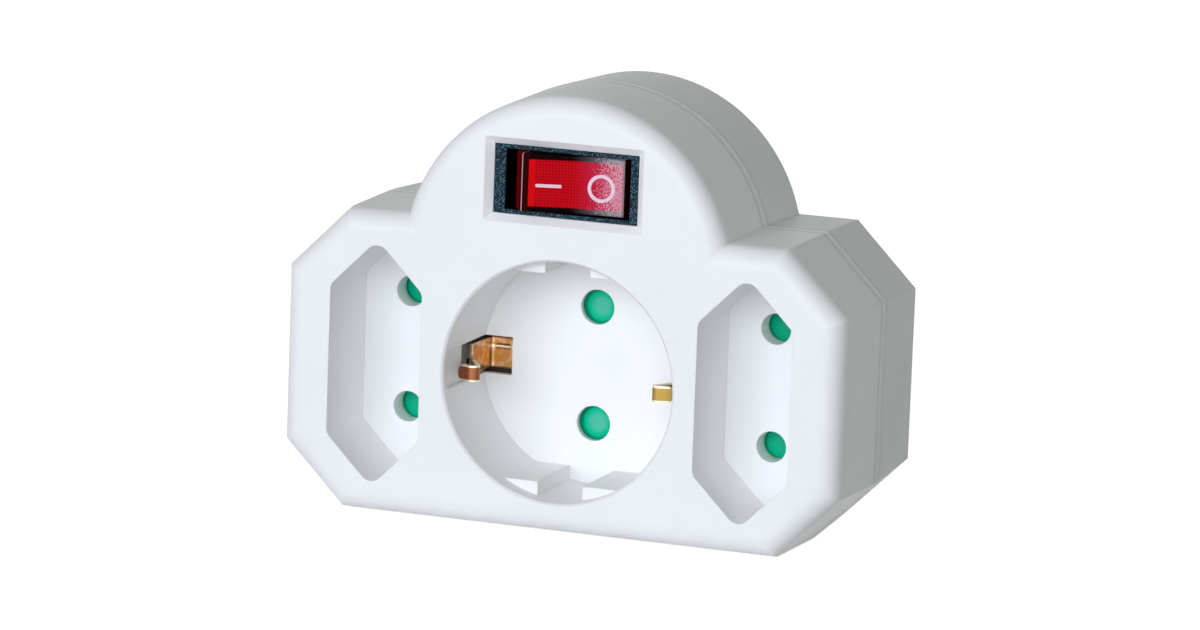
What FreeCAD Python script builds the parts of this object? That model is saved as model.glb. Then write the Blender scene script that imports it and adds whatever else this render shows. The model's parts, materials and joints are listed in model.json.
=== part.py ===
"""Plug-in adapter with one earthed socket, two flat two-pin sockets and a lit rocker switch.

Units are millimetres. The origin lies on the plug's axis, in the back face of the housing, which
bears on the wall outlet. X points to the right, Y towards the wall and Z up, so the sockets face -Y.
A height below is a distance forward of that back face, towards the user, and so is -Y.
"""
import FreeCAD, Part
import math
import os
import re

import Sketcher

Vector = FreeCAD.Vector

SIZES = {
    # Housing
    "half_width": 47.4,
    "shoulder_rise": 24.9,
    "base_drop": 24.6,
    "corner_cut": 10.2,
    "dome_radius": 27.9,
    "dome_rise": 17.9,
    "front_shell_depth": 19.8,
    "rear_shell_depth": 18.5,
    "front_draft": 0.92,
    "rear_draft": 2.0,
    "front_edge_round": 3.4,
    "back_edge_bevel": 0.9,
    "shell_wall": 2.2,
    "parting_bevel": 0.35,
    # Socket recesses
    "socket_margin": 16.2,
    "pin_spacing": 19.0,
    "recess_wall": 1.6,
    "floor_wall": 1.2,
    "rim_bevel": 0.35,
    "round_recess_radius": 19.4,
    "round_recess_depth": 17.5,
    "round_hole_radius": 2.85,
    "guide_chord": 16.8,
    "guide_gap": 7.6,
    "guide_setback": 3.4,
    "flat_recess_width": 15.8,
    "flat_recess_height": 38.2,
    "flat_recess_cut": 7.0,
    "flat_corner_round": 2.0,
    "flat_recess_depth": 14.8,
    "flat_hole_radius": 2.5,
    "hole_collar": 1.8,
    "clip_window_width": 6.2,
    "clip_window_length": 8.6,
    "clip_slot_reach": 4.6,
    "clip_channel_depth": 0.4,
    "clip_channel_setback": 1.5,
    # Shutters and the plate behind them
    "play": 0.3,
    "pivot_play": 0.05,
    "pivot_radius": 1.5,
    "shutter_wall": 1.2,
    "shutter_overlap": 0.8,
    "shutter_arm": 4.4,
    "shutter_hub": 2.9,
    "shutter_bed": 1.3,
    "shutter_wire": 0.4,
    "shutter_coil_radius": 2.1,
    "shutter_coils": 1.5,
    "carrier_wall": 2.0,
    "carrier_margin": 4.4,
    "carrier_half_height": 14.6,
    "carrier_cut": 3.0,
    "pin_passage": 3.4,
    "post_radius": 1.4,
    "post_reach": 8.2,
    # Live metal
    "strip": 0.6,
    "strip_bend": 0.8,
    "busbar_width": 5.0,
    "sleeve_length": 5.0,
    "sleeve_spread": 3.7,
    "sleeve_depth": 9.5,
    "round_pin_radius": 2.4,
    "flat_pin_radius": 2.0,
    "sleeve_squeeze": 0.15,
    "sleeve_flare": 0.8,
    # Plug
    "plug_radius": 18.5,
    "plug_depth": 17.0,
    "plug_bore_radius": 14.8,
    "plug_end_wall": 2.5,
    "plug_edge_bevel": 0.9,
    "plug_guide_chord": 16.4,
    "plug_guide_rib": 6.8,
    "plug_guide_setback": 2.5,
    "plug_pin_length": 19.0,
    "plug_pin_collar": 3.4,
    "plug_pin_collar_wall": 0.8,
    "plug_pin_shank": 0.4,
    "plug_pin_shoulder": 0.3,
    "plug_pin_nose": 2.0,
    "rivet_radius": 1.4,
    "rivet_head": 2.2,
    "rivet_head_wall": 0.7,
    # Earth strap
    "earth_width": 5.0,
    "earth_plane": -1.6,
    "earth_knee": 12.6,
    "earth_groove_width": 6.4,
    "earth_groove_depth": 1.5,
    "earth_reach": 14.0,
    "earth_bead": 0.4,
    "earth_bead_rise": 1.1,
    "clip_step": 14.4,
    "clip_shelf_drop": 1.0,
    "clip_plate": 19.2,
    "clip_plate_height": 6.0,
    "clip_tongue_width": 2.6,
    "clip_tongue_shift": -0.6,
    "clip_apex": 14.0,
    "clip_apex_depth": 2.7,
    "clip_lip": 18.2,
    "clip_lip_depth": 4.2,
    # Screws
    "screw_x": 19.6,
    "screw_top": 19.4,
    "screw_bottom": 18.6,
    "boss_radius": 3.6,
    "front_boss_radius": 3.0,
    "screw_head_radius": 2.7,
    "screw_head_wall": 1.8,
    "screw_head_depth": 8.0,
    "screw_radius": 1.45,
    "screw_length": 16.0,
    "cross_width": 0.9,
    "cross_depth": 1.1,
    # Rocker switch
    "switch_rise": 31.7,
    "switch_bevel": 1.2,
    "switch_seat_width": 24.3,
    "switch_seat_height": 11.1,
    "switch_seat_depth": 1.8,
    "switch_ledge": 1.6,
    "switch_fit": 0.1,
    "switch_body_width": 22.6,
    "switch_body_depth": 14.6,
    "switch_well_width": 21.0,
    "switch_well_height": 9.7,
    "switch_well_shift": 0.3,
    "switch_floor": 2.0,
    "rocker_pivot_depth": 4.6,
    "rocker_pivot_radius": 1.2,
    "rocker_tilt": 11.0,
    "rocker_height": 9.3,
    "rocker_face": 16.6,
    "rocker_rise": 5.3,
    "rocker_valley": 4.4,
    "rocker_skirt": 19.0,
    "rocker_shoulder": 2.0,
    "rocker_hem": 1.6,
    "rocker_wall": 1.0,
    "plunger_tube_radius": 2.5,
    "plunger_bore_radius": 1.8,
    "plunger_tube_length": 6.8,
    "plunger_bore_floor": 0.8,
    "plunger_reach": 6.1,
    "plunger_radius": 1.0,
    "plunger_head": 1.7,
    "plunger_head_place": 0.6,
    "plunger_head_wall": 0.7,
    "plunger_wire": 0.35,
    "plunger_coils": 3.5,
    "lever_half": 7.4,
    "lever_bend": 1.2,
    "lever_width": 4.0,
    "lever_tilt": 8.0,
    "lever_play": 0.1,
    "terminal_wall": 0.8,
    "terminal_width": 4.8,
    "terminal_pitch": 7.2,
    "terminal_length": 7.5,
    "terminal_rise": 0.9,
    "lamp_radius": 1.4,
    "lamp_length": 5.0,
    "resistor_radius": 0.9,
    "resistor_length": 4.6,
    # Leads
    "lead_radius": 1.1,
    "line_lead_side": 7.0,
    "neutral_lead_side": 8.7,
}

# The share of a run that an arc may take, and the gap where a lead's end meets a flat face
ARC_SHARE = 0.45
CONTACT_GAP = 0.1
COIL_SIDES = 6
SWEEP_TOLERANCE = 0.01

# Heights and places that follow from the sizes
SOCKET_PITCH = "(half_width - socket_margin)"
BODY_DEPTH = "(rear_shell_depth + front_shell_depth)"
ROUND_FLOOR = f"({BODY_DEPTH} - round_recess_depth)"
FLAT_FLOOR = f"({BODY_DEPTH} - flat_recess_depth)"
SHUTTER_FRONT = f"({ROUND_FLOOR} - floor_wall - play)"
SHUTTER_BACK = f"({SHUTTER_FRONT} - shutter_wall)"
CARRIER_FRONT = f"({SHUTTER_BACK} - shutter_bed)"
CARRIER_BACK = f"({CARRIER_FRONT} - carrier_wall)"
BEZEL_FACE = f"({BODY_DEPTH} - switch_bevel)"
SWITCH_SEAT = f"({BEZEL_FACE} - switch_seat_depth)"
SWITCH_BACK = f"({SWITCH_SEAT} - switch_body_depth + switch_seat_depth)"
WELL_FLOOR = f"({SWITCH_BACK} + switch_floor)"
ROCKER_PIVOT = f"({BEZEL_FACE} - rocker_pivot_depth)"
TERMINAL_TOP = f"({WELL_FLOOR} + terminal_rise)"
PLUG_INSIDE = "(plug_end_wall - plug_depth)"
ROCKER_INSIDE = "(rocker_valley - rocker_wall)"
PLUNGER_BORE_END = f"(plunger_bore_floor - {ROCKER_INSIDE})"

doc = FreeCAD.newDocument("MultiSocketAdapter")
sheet = doc.addObject("Spreadsheet::Sheet", "Sizes")
for row, (alias, value) in enumerate(SIZES.items(), start=1):
    sheet.set(f"A{row}", alias)
    sheet.set(f"B{row}", str(value))
    sheet.setAlias(f"B{row}", alias)
doc.recompute()


def bound(formula):
    """Gives a formula in which each size's name points at its cell."""
    return re.sub(r"[a-z_]+", lambda word: "Sizes." + word[0] if word[0] in SIZES else word[0], formula)


def value_of(formula):
    """Works a formula out to a plain number."""
    result = sheet.evalExpression(bound(formula))
    return float(getattr(result, "Value", result))


# Drawing and shaping


def new_body(name):
    """Starts a sub-part of its own."""
    body = doc.addObject("PartDesign::Body", name)
    body.Label = name
    return body


def new_sketch(body, role, level="0"):
    """Opens a sketch on one of the body's own planes, moved along that plane's normal."""
    plane = [item for item in body.Origin.OriginFeatures if item.Role == role][0]
    sketch = body.newObject("Sketcher::SketchObject", f"{body.Name}_sketch")
    sketch.AttachmentSupport = [(plane, "")]
    sketch.MapMode = "FlatFace"
    sketch.setExpression("AttachmentOffset.Base.z", bound(level))
    return sketch


def hold(sketch, kind, references, formula):
    """Adds a dimension to the sketch and ties it to its formula."""
    index = sketch.addConstraint(Sketcher.Constraint(kind, *references, value_of(formula)))
    sketch.setExpression(f"Constraints[{index}]", bound(formula))


def draw_line_chain(sketch, corners, closed=True, sliding=(), free=()):
    """Draws straight lines through the corners. A sliding corner isn't held along X, a free one not at all."""
    first = sketch.GeometryCount
    points = [Vector(value_of(x), value_of(y), 0) for x, y in corners]
    ends = points[1:] + points[:1] if closed else points[1:]
    for start, end in zip(points, ends):
        sketch.addGeometry(Part.LineSegment(start, end))
    for index in range(first, first + len(ends) - 1):
        sketch.addConstraint(Sketcher.Constraint("Coincident", index, 2, index + 1, 1))
    if closed:
        sketch.addConstraint(Sketcher.Constraint("Coincident", first + len(ends) - 1, 2, first, 1))
    for number, (x, y) in enumerate(corners):
        past_end = number == len(ends)
        vertex = (first + number - 1, 2) if past_end else (first + number, 1)
        if number not in sliding and number not in free:
            hold(sketch, "DistanceX", (-1, 1, *vertex), x)
        if number not in free:
            hold(sketch, "DistanceY", (-1, 1, *vertex), y)
    return first, first + len(ends) - 1


def draw_box(sketch, x, y, width, height):
    """Draws a rectangle about the point x, y."""
    left, right = f"({x}) - ({width}) / 2", f"({x}) + ({width}) / 2"
    low, high = f"({y}) - ({height}) / 2", f"({y}) + ({height}) / 2"
    draw_line_chain(sketch, [(left, low), (right, low), (right, high), (left, high)])


def draw_circle(sketch, x, y, radius):
    """Draws a circle about the point x, y."""
    circle = Part.Circle(Vector(value_of(x), value_of(y), 0), Vector(0, 0, 1), value_of(radius))
    index = sketch.addGeometry(circle)
    hold(sketch, "DistanceX", (-1, 1, index, 3), x)
    hold(sketch, "DistanceY", (-1, 1, index, 3), y)
    hold(sketch, "Radius", (index,), radius)


def draw_cut_corner_box(sketch, x, width, height, cut):
    """Draws an upright rectangle about x on the socket line, with its four corners cut at 45 degrees."""
    left, right = f"({x}) - ({width}) / 2", f"({x}) + ({width}) / 2"
    high, low = f"({height}) / 2", f"-({height}) / 2"
    draw_line_chain(sketch, [
        (f"{left} + {cut}", low), (f"{right} - {cut}", low), (right, f"{low} + {cut}"),
        (right, f"{high} - {cut}"), (f"{right} - {cut}", high), (f"{left} + {cut}", high),
        (left, f"{high} - {cut}"), (left, f"{low} + {cut}")])


def draw_housing_outline(sketch, inset):
    """Draws the housing's front view: a low block with cut corners and a round dome out of its top."""
    side, top = f"(half_width - {inset})", f"(shoulder_rise - {inset})"
    base, cut = f"(base_drop - {inset})", f"(corner_cut - {inset} * (2 - sqrt(2)))"
    radius = f"(dome_radius - {inset})"
    foot = f"sqrt({radius} * {radius} - ({top} - dome_rise) * ({top} - dome_rise))"
    corners = [
        (foot, top), (f"{side} - {cut}", top), (side, f"{top} - {cut}"), (side, f"{cut} - {base}"),
        (f"{side} - {cut}", f"-{base}"), (f"{cut} - {side}", f"-{base}"), (f"-{side}", f"{cut} - {base}"),
        (f"-{side}", f"{top} - {cut}"), (f"{cut} - {side}", top), (f"-{foot}", top)]
    first, last = draw_line_chain(sketch, corners, closed=False, sliding=(0, len(corners) - 1))
    centre = Vector(0, value_of("dome_rise"), 0)
    right_foot = Vector(value_of(foot), value_of(top), 0)
    angle = Vector(1, 0, 0).getAngle(right_foot - centre)
    circle = Part.Circle(centre, Vector(0, 0, 1), value_of(radius))
    dome = sketch.addGeometry(Part.ArcOfCircle(circle, angle, Vector(1, 0, 0).getAngle(Vector(-1, 0, 0)) - angle))
    sketch.addConstraint(Sketcher.Constraint("Coincident", dome, 1, first, 1))
    sketch.addConstraint(Sketcher.Constraint("Coincident", dome, 2, last, 2))
    sketch.addConstraint(Sketcher.Constraint("PointOnObject", dome, 3, -2))
    hold(sketch, "DistanceY", (-1, 1, dome, 3), "dome_rise")
    hold(sketch, "Radius", (dome,), radius)


def finish_feature(body, feature, grows):
    """Works the feature out and makes sure that it changed the solid the way it should."""
    before = body.Shape.Volume if body.Shape and not body.Shape.isNull() else 0.0
    doc.recompute()
    change = body.Shape.Volume - before
    if (change > 0) != grows or abs(change) < 1e-6:
        raise ValueError(f"{feature.Name} changed the volume by {change:.4f}")
    return feature


def pad(body, sketch, length, reverse=False, centred=False):
    """Raises the sketch into a solid."""
    feature = body.newObject("PartDesign::Pad", f"{body.Name}_pad")
    feature.Profile = sketch
    feature.setExpression("Length", bound(length))
    feature.Reversed = reverse
    feature.Midplane = centred
    return finish_feature(body, feature, grows=True)


def pocket(body, sketch, depth, forward=False, centred=False, draft=None):
    """Cuts the sketch into the solid, away from the plane's normal or along it."""
    feature = body.newObject("PartDesign::Pocket", f"{body.Name}_pocket")
    feature.Profile = sketch
    feature.setExpression("Length", bound(depth))
    feature.Reversed = forward
    feature.Midplane = centred
    if draft:
        feature.setExpression("TaperAngle", bound(f"-{draft}"))
    return finish_feature(body, feature, grows=False)


def dress(body, kind, size, wanted):
    """Rounds or bevels the edges of the body's last shape that the test picks."""
    base = body.Tip
    names = [f"Edge{n}" for n, edge in enumerate(base.Shape.Edges, start=1) if wanted(edge)]
    feature = body.newObject(f"PartDesign::{kind}", f"{body.Name}_{kind.lower()}")
    feature.Base = (base, names)
    feature.setExpression("Radius" if kind == "Fillet" else "Size", bound(size))
    doc.recompute()
    if feature.Shape.isNull() or not feature.isValid() or not feature.Shape.isValid():
        raise ValueError(f"{feature.Name} failed on {len(names)} edges")
    return feature


def at_height(item, formula):
    """Says whether an edge or a face lies wholly at this height forward of the back face."""
    level = -value_of(formula)
    box = item.BoundBox
    return abs(box.YMin - level) < 1e-3 and abs(box.YMax - level) < 1e-3


def revolve(body, corners):
    """Turns a closed half profile, given as radius and height pairs, a full turn about the body's Y."""
    sketch = new_sketch(body, "XY_Plane")
    draw_line_chain(sketch, corners)
    feature = body.newObject("PartDesign::Revolution", f"{body.Name}_revolution")
    feature.Profile = sketch
    feature.ReferenceAxis = (sketch, ["V_Axis"])
    feature.Angle = 360
    return finish_feature(body, feature, grows=True)


def place(item, x="0", height="0", z="0"):
    """Ties the sub-part's place to formulas."""
    item.setExpression("Placement.Base.x", bound(x))
    item.setExpression("Placement.Base.y", bound(f"-({height})"))
    item.setExpression("Placement.Base.z", bound(z))


SOCKET_CENTRES = (f"-{SOCKET_PITCH}", "0", SOCKET_PITCH)
FLAT_CENTRES = (f"-{SOCKET_PITCH}", SOCKET_PITCH)
PIN_ROWS = ("-pin_spacing / 2", "pin_spacing / 2")
SIDES = (-1, 1)
SCREW_PLACES = [(f"{side} * screw_x", z) for side in SIDES for z in ("screw_top", "-screw_bottom")]
POST_PLACES = [f"{side} * ({SOCKET_PITCH} + {way} * post_reach)" for side in SIDES for way in SIDES]


# What both shells share


def add_shell_block(body, end, draft):
    """Raises the low block with cut corners, with walls that lean in from the parting plane to its end."""
    inset = f"(abs({end} - rear_shell_depth) * tan({draft}))"
    faces_front = value_of(end) > value_of("rear_shell_depth")
    near, far = ((end, inset), ("rear_shell_depth", "0")) if faces_front else (("rear_shell_depth", "0"), (end, inset))
    block = body.newObject("PartDesign::AdditiveWedge", f"{body.Name}_block")
    for step, (level, shrink) in (("", near), ("2", far)):
        block.setExpression("Ymax" if step else "Ymin", bound(f"-({level})"))
        block.setExpression(f"X{step}min", bound(f"{shrink} - half_width"))
        block.setExpression(f"X{step}max", bound(f"half_width - {shrink}"))
        block.setExpression(f"Z{step}min", bound(f"{shrink} - base_drop"))
        block.setExpression(f"Z{step}max", bound(f"shoulder_rise - {shrink}"))
    doc.recompute()
    dress(body, "Chamfer", "corner_cut", lambda edge: edge.BoundBox.YLength > 1)


def add_shell_dome(body, end, draft):
    """Adds the dome as a slightly tapered round that rises out of the block."""
    reach = f"abs({end} - rear_shell_depth)"
    narrow = f"dome_radius - {reach} * tan({draft})"
    faces_front = value_of(end) > value_of("rear_shell_depth")
    plane = [item for item in body.Origin.OriginFeatures if item.Role == "XZ_Plane"][0]
    dome = body.newObject("PartDesign::AdditiveCone", f"{body.Name}_dome")
    dome.AttachmentSupport = [(plane, "")]
    dome.MapMode = "FlatFace"
    dome.setExpression("AttachmentOffset.Base.y", "Sizes.dome_rise")
    dome.setExpression("AttachmentOffset.Base.z", bound("rear_shell_depth" if faces_front else end))
    dome.setExpression("Radius1", bound("dome_radius" if faces_front else narrow))
    dome.setExpression("Radius2", bound(narrow if faces_front else "dome_radius"))
    dome.setExpression("Height", bound(reach))
    doc.recompute()


# Front shell


def make_front_cover():
    body = new_body("front_cover")
    add_shell_block(body, BODY_DEPTH, "front_draft")
    add_shell_dome(body, BODY_DEPTH, "front_draft")
    dress(body, "Fillet", "front_edge_round", lambda edge: at_height(edge, BODY_DEPTH))
    dress(body, "Chamfer", "parting_bevel", lambda edge: at_height(edge, "rear_shell_depth"))
    sketch = new_sketch(body, "XZ_Plane", "rear_shell_depth")
    draw_housing_outline(sketch, "shell_wall")
    pocket(body, sketch, "front_shell_depth - shell_wall", forward=True)
    add_recess_tubes(body)
    add_switch_seat(body)
    add_front_bosses(body)
    cut_round_recess(body)
    cut_flat_recesses(body)
    cut_switch_seat(body)
    return body


def add_recess_tubes(body):
    """Adds the walls and floors that hang from the front wall and form the three sockets."""
    sketch = new_sketch(body, "XZ_Plane", f"{ROUND_FLOOR} - floor_wall")
    draw_circle(sketch, "0", "0", "round_recess_radius + recess_wall")
    pad(body, sketch, "round_recess_depth + floor_wall - shell_wall / 2")
    spread = "2 * recess_wall"
    for centre in FLAT_CENTRES:
        sketch = new_sketch(body, "XZ_Plane", f"{FLAT_FLOOR} - floor_wall")
        draw_cut_corner_box(sketch, centre, f"flat_recess_width + {spread}", f"flat_recess_height + {spread}",
                            "(flat_recess_cut + recess_wall * (2 - sqrt(2)))")
        pad(body, sketch, "flat_recess_depth + floor_wall - shell_wall / 2")
    sketch = new_sketch(body, "XZ_Plane", f"{ROUND_FLOOR} - floor_wall")
    for centre in FLAT_CENTRES:
        for row in PIN_ROWS:
            draw_circle(sketch, centre, row, "flat_hole_radius + hole_collar")
    pad(body, sketch, f"{FLAT_FLOOR} - {ROUND_FLOOR} + floor_wall / 2")
    sketch = new_sketch(body, "XZ_Plane", CARRIER_FRONT)
    for centre in POST_PLACES:
        draw_circle(sketch, centre, "0", "post_radius")
    pad(body, sketch, f"{FLAT_FLOOR} - {CARRIER_FRONT} + floor_wall")


def add_front_bosses(body):
    """Adds the four bosses that the housing screws bite into."""
    sketch = new_sketch(body, "XZ_Plane", "rear_shell_depth")
    for x, z in SCREW_PLACES:
        draw_circle(sketch, x, z, "front_boss_radius")
    pad(body, sketch, "front_shell_depth - shell_wall / 2")
    sketch = new_sketch(body, "XZ_Plane", "rear_shell_depth")
    for x, z in SCREW_PLACES:
        draw_circle(sketch, x, z, "screw_radius")
    pocket(body, sketch, "front_shell_depth - 2 * shell_wall", forward=True)


def cut_round_recess(body):
    """Sinks the round socket, then adds its guide blocks and cuts its holes and earth clip openings."""
    sketch = new_sketch(body, "XZ_Plane", BODY_DEPTH)
    draw_circle(sketch, "0", "0", "round_recess_radius")
    pocket(body, sketch, "round_recess_depth")
    rim = value_of("round_recess_radius")
    dress(body, "Chamfer", "rim_bevel", lambda edge: at_height(edge, BODY_DEPTH) and edge.BoundBox.XMax < rim + 1
          and edge.BoundBox.ZMax < rim + 1 and edge.BoundBox.ZMin < 0)
    sketch = new_sketch(body, "XZ_Plane", ROUND_FLOOR)
    for side in SIDES:
        for way in SIDES:
            draw_guide_block(sketch, side, way)
    pad(body, sketch, "round_recess_depth - guide_setback")
    sketch = new_sketch(body, "XZ_Plane", ROUND_FLOOR)
    for row in PIN_ROWS:
        draw_circle(sketch, "0", row, "round_hole_radius")
    pocket(body, sketch, "floor_wall")
    channel = new_sketch(body, "XZ_Plane", f"{BODY_DEPTH} - clip_channel_setback")
    window = new_sketch(body, "XZ_Plane", f"{ROUND_FLOOR} + clip_window_length")
    slot = new_sketch(body, "XZ_Plane", ROUND_FLOOR)
    for side in SIDES:
        draw_box(channel, f"{side} * (round_recess_radius - 1 + clip_channel_depth)", "0", "2", "clip_window_width")
        draw_box(window, f"{side} * (round_recess_radius + recess_wall / 2)", "0", "recess_wall + 1",
                 "clip_window_width")
        draw_box(slot, f"{side} * (round_recess_radius + recess_wall - clip_slot_reach / 2 - 1)", "0",
                 "clip_slot_reach + 2", "clip_window_width")
    pocket(body, channel, "round_recess_depth - clip_channel_setback")
    pocket(body, window, "clip_window_length")
    pocket(body, slot, "floor_wall")


def draw_guide_block(sketch, side, way):
    """Draws one guide block: a chord across the recess, a flat towards the gap and an arc in the wall."""
    radius = "(round_recess_radius + recess_wall / 2)"
    inner, chord = f"{side} * guide_gap / 2", f"{way} * guide_chord"
    outer = f"{side} * sqrt({radius} * {radius} - guide_chord * guide_chord)"
    top = f"{way} * sqrt({radius} * {radius} - guide_gap * guide_gap / 4)"
    first, last = draw_line_chain(sketch, [(outer, chord), (inner, chord), (inner, top)], closed=False,
                                  sliding=(0,), free=(2,))
    start = Vector(value_of(outer), value_of(chord), 0)
    end = Vector(value_of(inner), value_of(top), 0)
    middle = (start + end).normalize() * value_of(radius)
    arc = sketch.addGeometry(Part.Arc(end, middle, start))
    turned = side * way > 0
    near, far = (2, 1) if turned else (1, 2)
    sketch.addConstraint(Sketcher.Constraint("Coincident", arc, 3, -1, 1))
    sketch.addConstraint(Sketcher.Constraint("Coincident", arc, near, last, 2))
    sketch.addConstraint(Sketcher.Constraint("Coincident", arc, far, first, 1))
    hold(sketch, "Radius", (arc,), radius)


def is_flat_recess_corner(edge):
    """Says whether an edge is one of the flat recesses' corners, which run from the front to their floor."""
    box = edge.BoundBox
    from_centre = abs(abs(box.Center.x) - value_of(SOCKET_PITCH))
    runs_full = abs(box.YLength - value_of("flat_recess_depth")) < 1e-3
    return runs_full and from_centre < value_of("flat_recess_width / 2") + 1e-3


def cut_flat_recesses(body):
    """Sinks the two flat sockets and their pin holes."""
    for centre in FLAT_CENTRES:
        sketch = new_sketch(body, "XZ_Plane", BODY_DEPTH)
        draw_cut_corner_box(sketch, centre, "flat_recess_width", "flat_recess_height", "flat_recess_cut")
        pocket(body, sketch, "flat_recess_depth")
    dress(body, "Fillet", "flat_corner_round", is_flat_recess_corner)
    sketch = new_sketch(body, "XZ_Plane", FLAT_FLOOR)
    for centre in FLAT_CENTRES:
        for row in PIN_ROWS:
            draw_circle(sketch, centre, row, "flat_hole_radius")
    pocket(body, sketch, f"{FLAT_FLOOR} - {ROUND_FLOOR} + floor_wall")


def add_switch_seat(body):
    """Thickens the dome's front wall where the switch drops in."""
    sketch = new_sketch(body, "XZ_Plane", f"{SWITCH_SEAT} - switch_ledge")
    draw_box(sketch, "0", "switch_rise", "switch_seat_width + 2 * recess_wall",
             "switch_seat_height + 2 * recess_wall")
    pad(body, sketch, f"{BODY_DEPTH} - {SWITCH_SEAT} + switch_ledge - shell_wall / 2")


def cut_switch_seat(body):
    """Opens the seat, with a bevelled frame in front and a ledge for the switch's bezel at each end."""
    sketch = new_sketch(body, "XZ_Plane", BODY_DEPTH)
    draw_box(sketch, "0", "switch_rise", "switch_seat_width", "switch_seat_height")
    pocket(body, sketch, f"{BODY_DEPTH} - {SWITCH_SEAT}")
    sketch = new_sketch(body, "XZ_Plane", BODY_DEPTH)
    draw_box(sketch, "0", "switch_rise", "switch_seat_width + 2 * switch_bevel",
             "switch_seat_height + 2 * switch_bevel")
    pocket(body, sketch, "switch_bevel", draft="45")
    sketch = new_sketch(body, "XZ_Plane", SWITCH_SEAT)
    draw_box(sketch, "0", "switch_rise", "switch_body_width + 2 * switch_fit", "switch_seat_height")
    pocket(body, sketch, "switch_ledge")


# Rear shell with the moulded plug


def make_rear_cover():
    body = new_body("rear_cover")
    add_shell_block(body, "0", "rear_draft")
    add_shell_dome(body, "0", "rear_draft")
    dress(body, "Chamfer", "back_edge_bevel", lambda edge: at_height(edge, "0"))
    dress(body, "Chamfer", "parting_bevel", lambda edge: at_height(edge, "rear_shell_depth"))
    sketch = new_sketch(body, "XZ_Plane", "0")
    draw_circle(sketch, "0", "0", "plug_radius")
    pad(body, sketch, "plug_depth", reverse=True)
    dress(body, "Chamfer", "plug_edge_bevel", lambda edge: at_height(edge, "-plug_depth"))
    sketch = new_sketch(body, "XZ_Plane", "rear_shell_depth")
    draw_housing_outline(sketch, "shell_wall")
    pocket(body, sketch, "rear_shell_depth - shell_wall")
    sketch = new_sketch(body, "XZ_Plane", "shell_wall")
    draw_circle(sketch, "0", "0", "plug_bore_radius")
    pocket(body, sketch, f"shell_wall - {PLUG_INSIDE}")
    cut_plug_grooves(body)
    add_rear_bosses(body)
    return body


def cut_plug_grooves(body):
    """Cuts the guide grooves at the plug's left and right and the earth grooves at its top and bottom."""
    sketch = new_sketch(body, "XZ_Plane", "-plug_depth")
    for side in SIDES:
        for way in SIDES:
            draw_box(sketch, f"{side} * (plug_guide_chord + 2)", f"{way} * (plug_guide_rib / 2 + 4)", "4", "8")
    pocket(body, sketch, "plug_depth - plug_guide_setback", forward=True)
    sketch = new_sketch(body, "XZ_Plane", "-plug_depth")
    for way in SIDES:
        draw_box(sketch, "0", f"{way} * (plug_radius - earth_groove_depth + 2)", "earth_groove_width", "4")
    pocket(body, sketch, "plug_depth + earth_plane + strip + play", forward=True)
    sketch = new_sketch(body, "XZ_Plane", "earth_plane + strip + play")
    draw_box(sketch, "0", "0", "earth_groove_width", "2 * plug_radius - earth_groove_depth")
    pocket(body, sketch, "strip + 2 * play")
    sketch = new_sketch(body, "XZ_Plane", "-plug_depth")
    for side in SIDES:
        draw_circle(sketch, f"{side} * pin_spacing / 2", "0", "round_pin_radius + plug_pin_shank + pivot_play")
    pocket(body, sketch, "plug_end_wall", forward=True)


def add_rear_bosses(body):
    """Adds the screw bosses, open from the back down to the screw heads, and the carrier's posts."""
    sketch = new_sketch(body, "XZ_Plane", "shell_wall / 2")
    for x, z in SCREW_PLACES:
        draw_circle(sketch, x, z, "boss_radius")
    pad(body, sketch, "rear_shell_depth - shell_wall / 2")
    sketch = new_sketch(body, "XZ_Plane", "0")
    for x, z in SCREW_PLACES:
        draw_circle(sketch, x, z, "screw_head_radius + play / 2")
    pocket(body, sketch, "screw_head_depth", forward=True)
    sketch = new_sketch(body, "XZ_Plane", "screw_head_depth")
    for x, z in SCREW_PLACES:
        draw_circle(sketch, x, z, "screw_radius + play / 2")
    pocket(body, sketch, "rear_shell_depth - screw_head_depth", forward=True)
    sketch = new_sketch(body, "XZ_Plane", "shell_wall / 2")
    for centre in POST_PLACES:
        draw_circle(sketch, centre, "0", "post_radius")
    pad(body, sketch, f"{CARRIER_BACK} - shell_wall / 2")


# Shutters and their carrier


def make_contact_carrier():
    body = new_body("contact_carrier")
    sketch = new_sketch(body, "XZ_Plane", CARRIER_BACK)
    draw_cut_corner_box(sketch, "0", "2 * (half_width - carrier_margin)", "2 * carrier_half_height", "carrier_cut")
    for centre in SOCKET_CENTRES:
        for row in PIN_ROWS:
            draw_circle(sketch, centre, row, "pin_passage")
    for side in SIDES:
        draw_box(sketch, f"{side} * clip_step", "0", "4 * strip", "earth_width + 2 * play")
    pad(body, sketch, "carrier_wall")
    sketch = new_sketch(body, "XZ_Plane", CARRIER_FRONT)
    for centre in SOCKET_CENTRES:
        draw_circle(sketch, centre, "0", "pivot_radius")
    pad(body, sketch, f"{SHUTTER_FRONT} - {CARRIER_FRONT}")
    return body


def make_shutter(name, centre, hole_radius):
    """A flat arm on a pivot, with a round pad over each of the socket's two holes."""
    body = new_body(name)
    pad_radius = f"({hole_radius} + shutter_overlap)"
    sketch = new_sketch(body, "XZ_Plane")
    draw_box(sketch, "0", "0", "shutter_arm", "pin_spacing")
    pad(body, sketch, "shutter_wall")
    sketch = new_sketch(body, "XZ_Plane")
    draw_circle(sketch, "0", "0", "shutter_hub")
    for row in PIN_ROWS:
        draw_circle(sketch, "0", row, pad_radius)
    pad(body, sketch, "shutter_wall")
    sketch = new_sketch(body, "XZ_Plane", "shutter_wall")
    draw_circle(sketch, "0", "0", "pivot_radius + pivot_play")
    pocket(body, sketch, "shutter_wall")
    place(body, centre, SHUTTER_BACK, "0")
    return body


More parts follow.
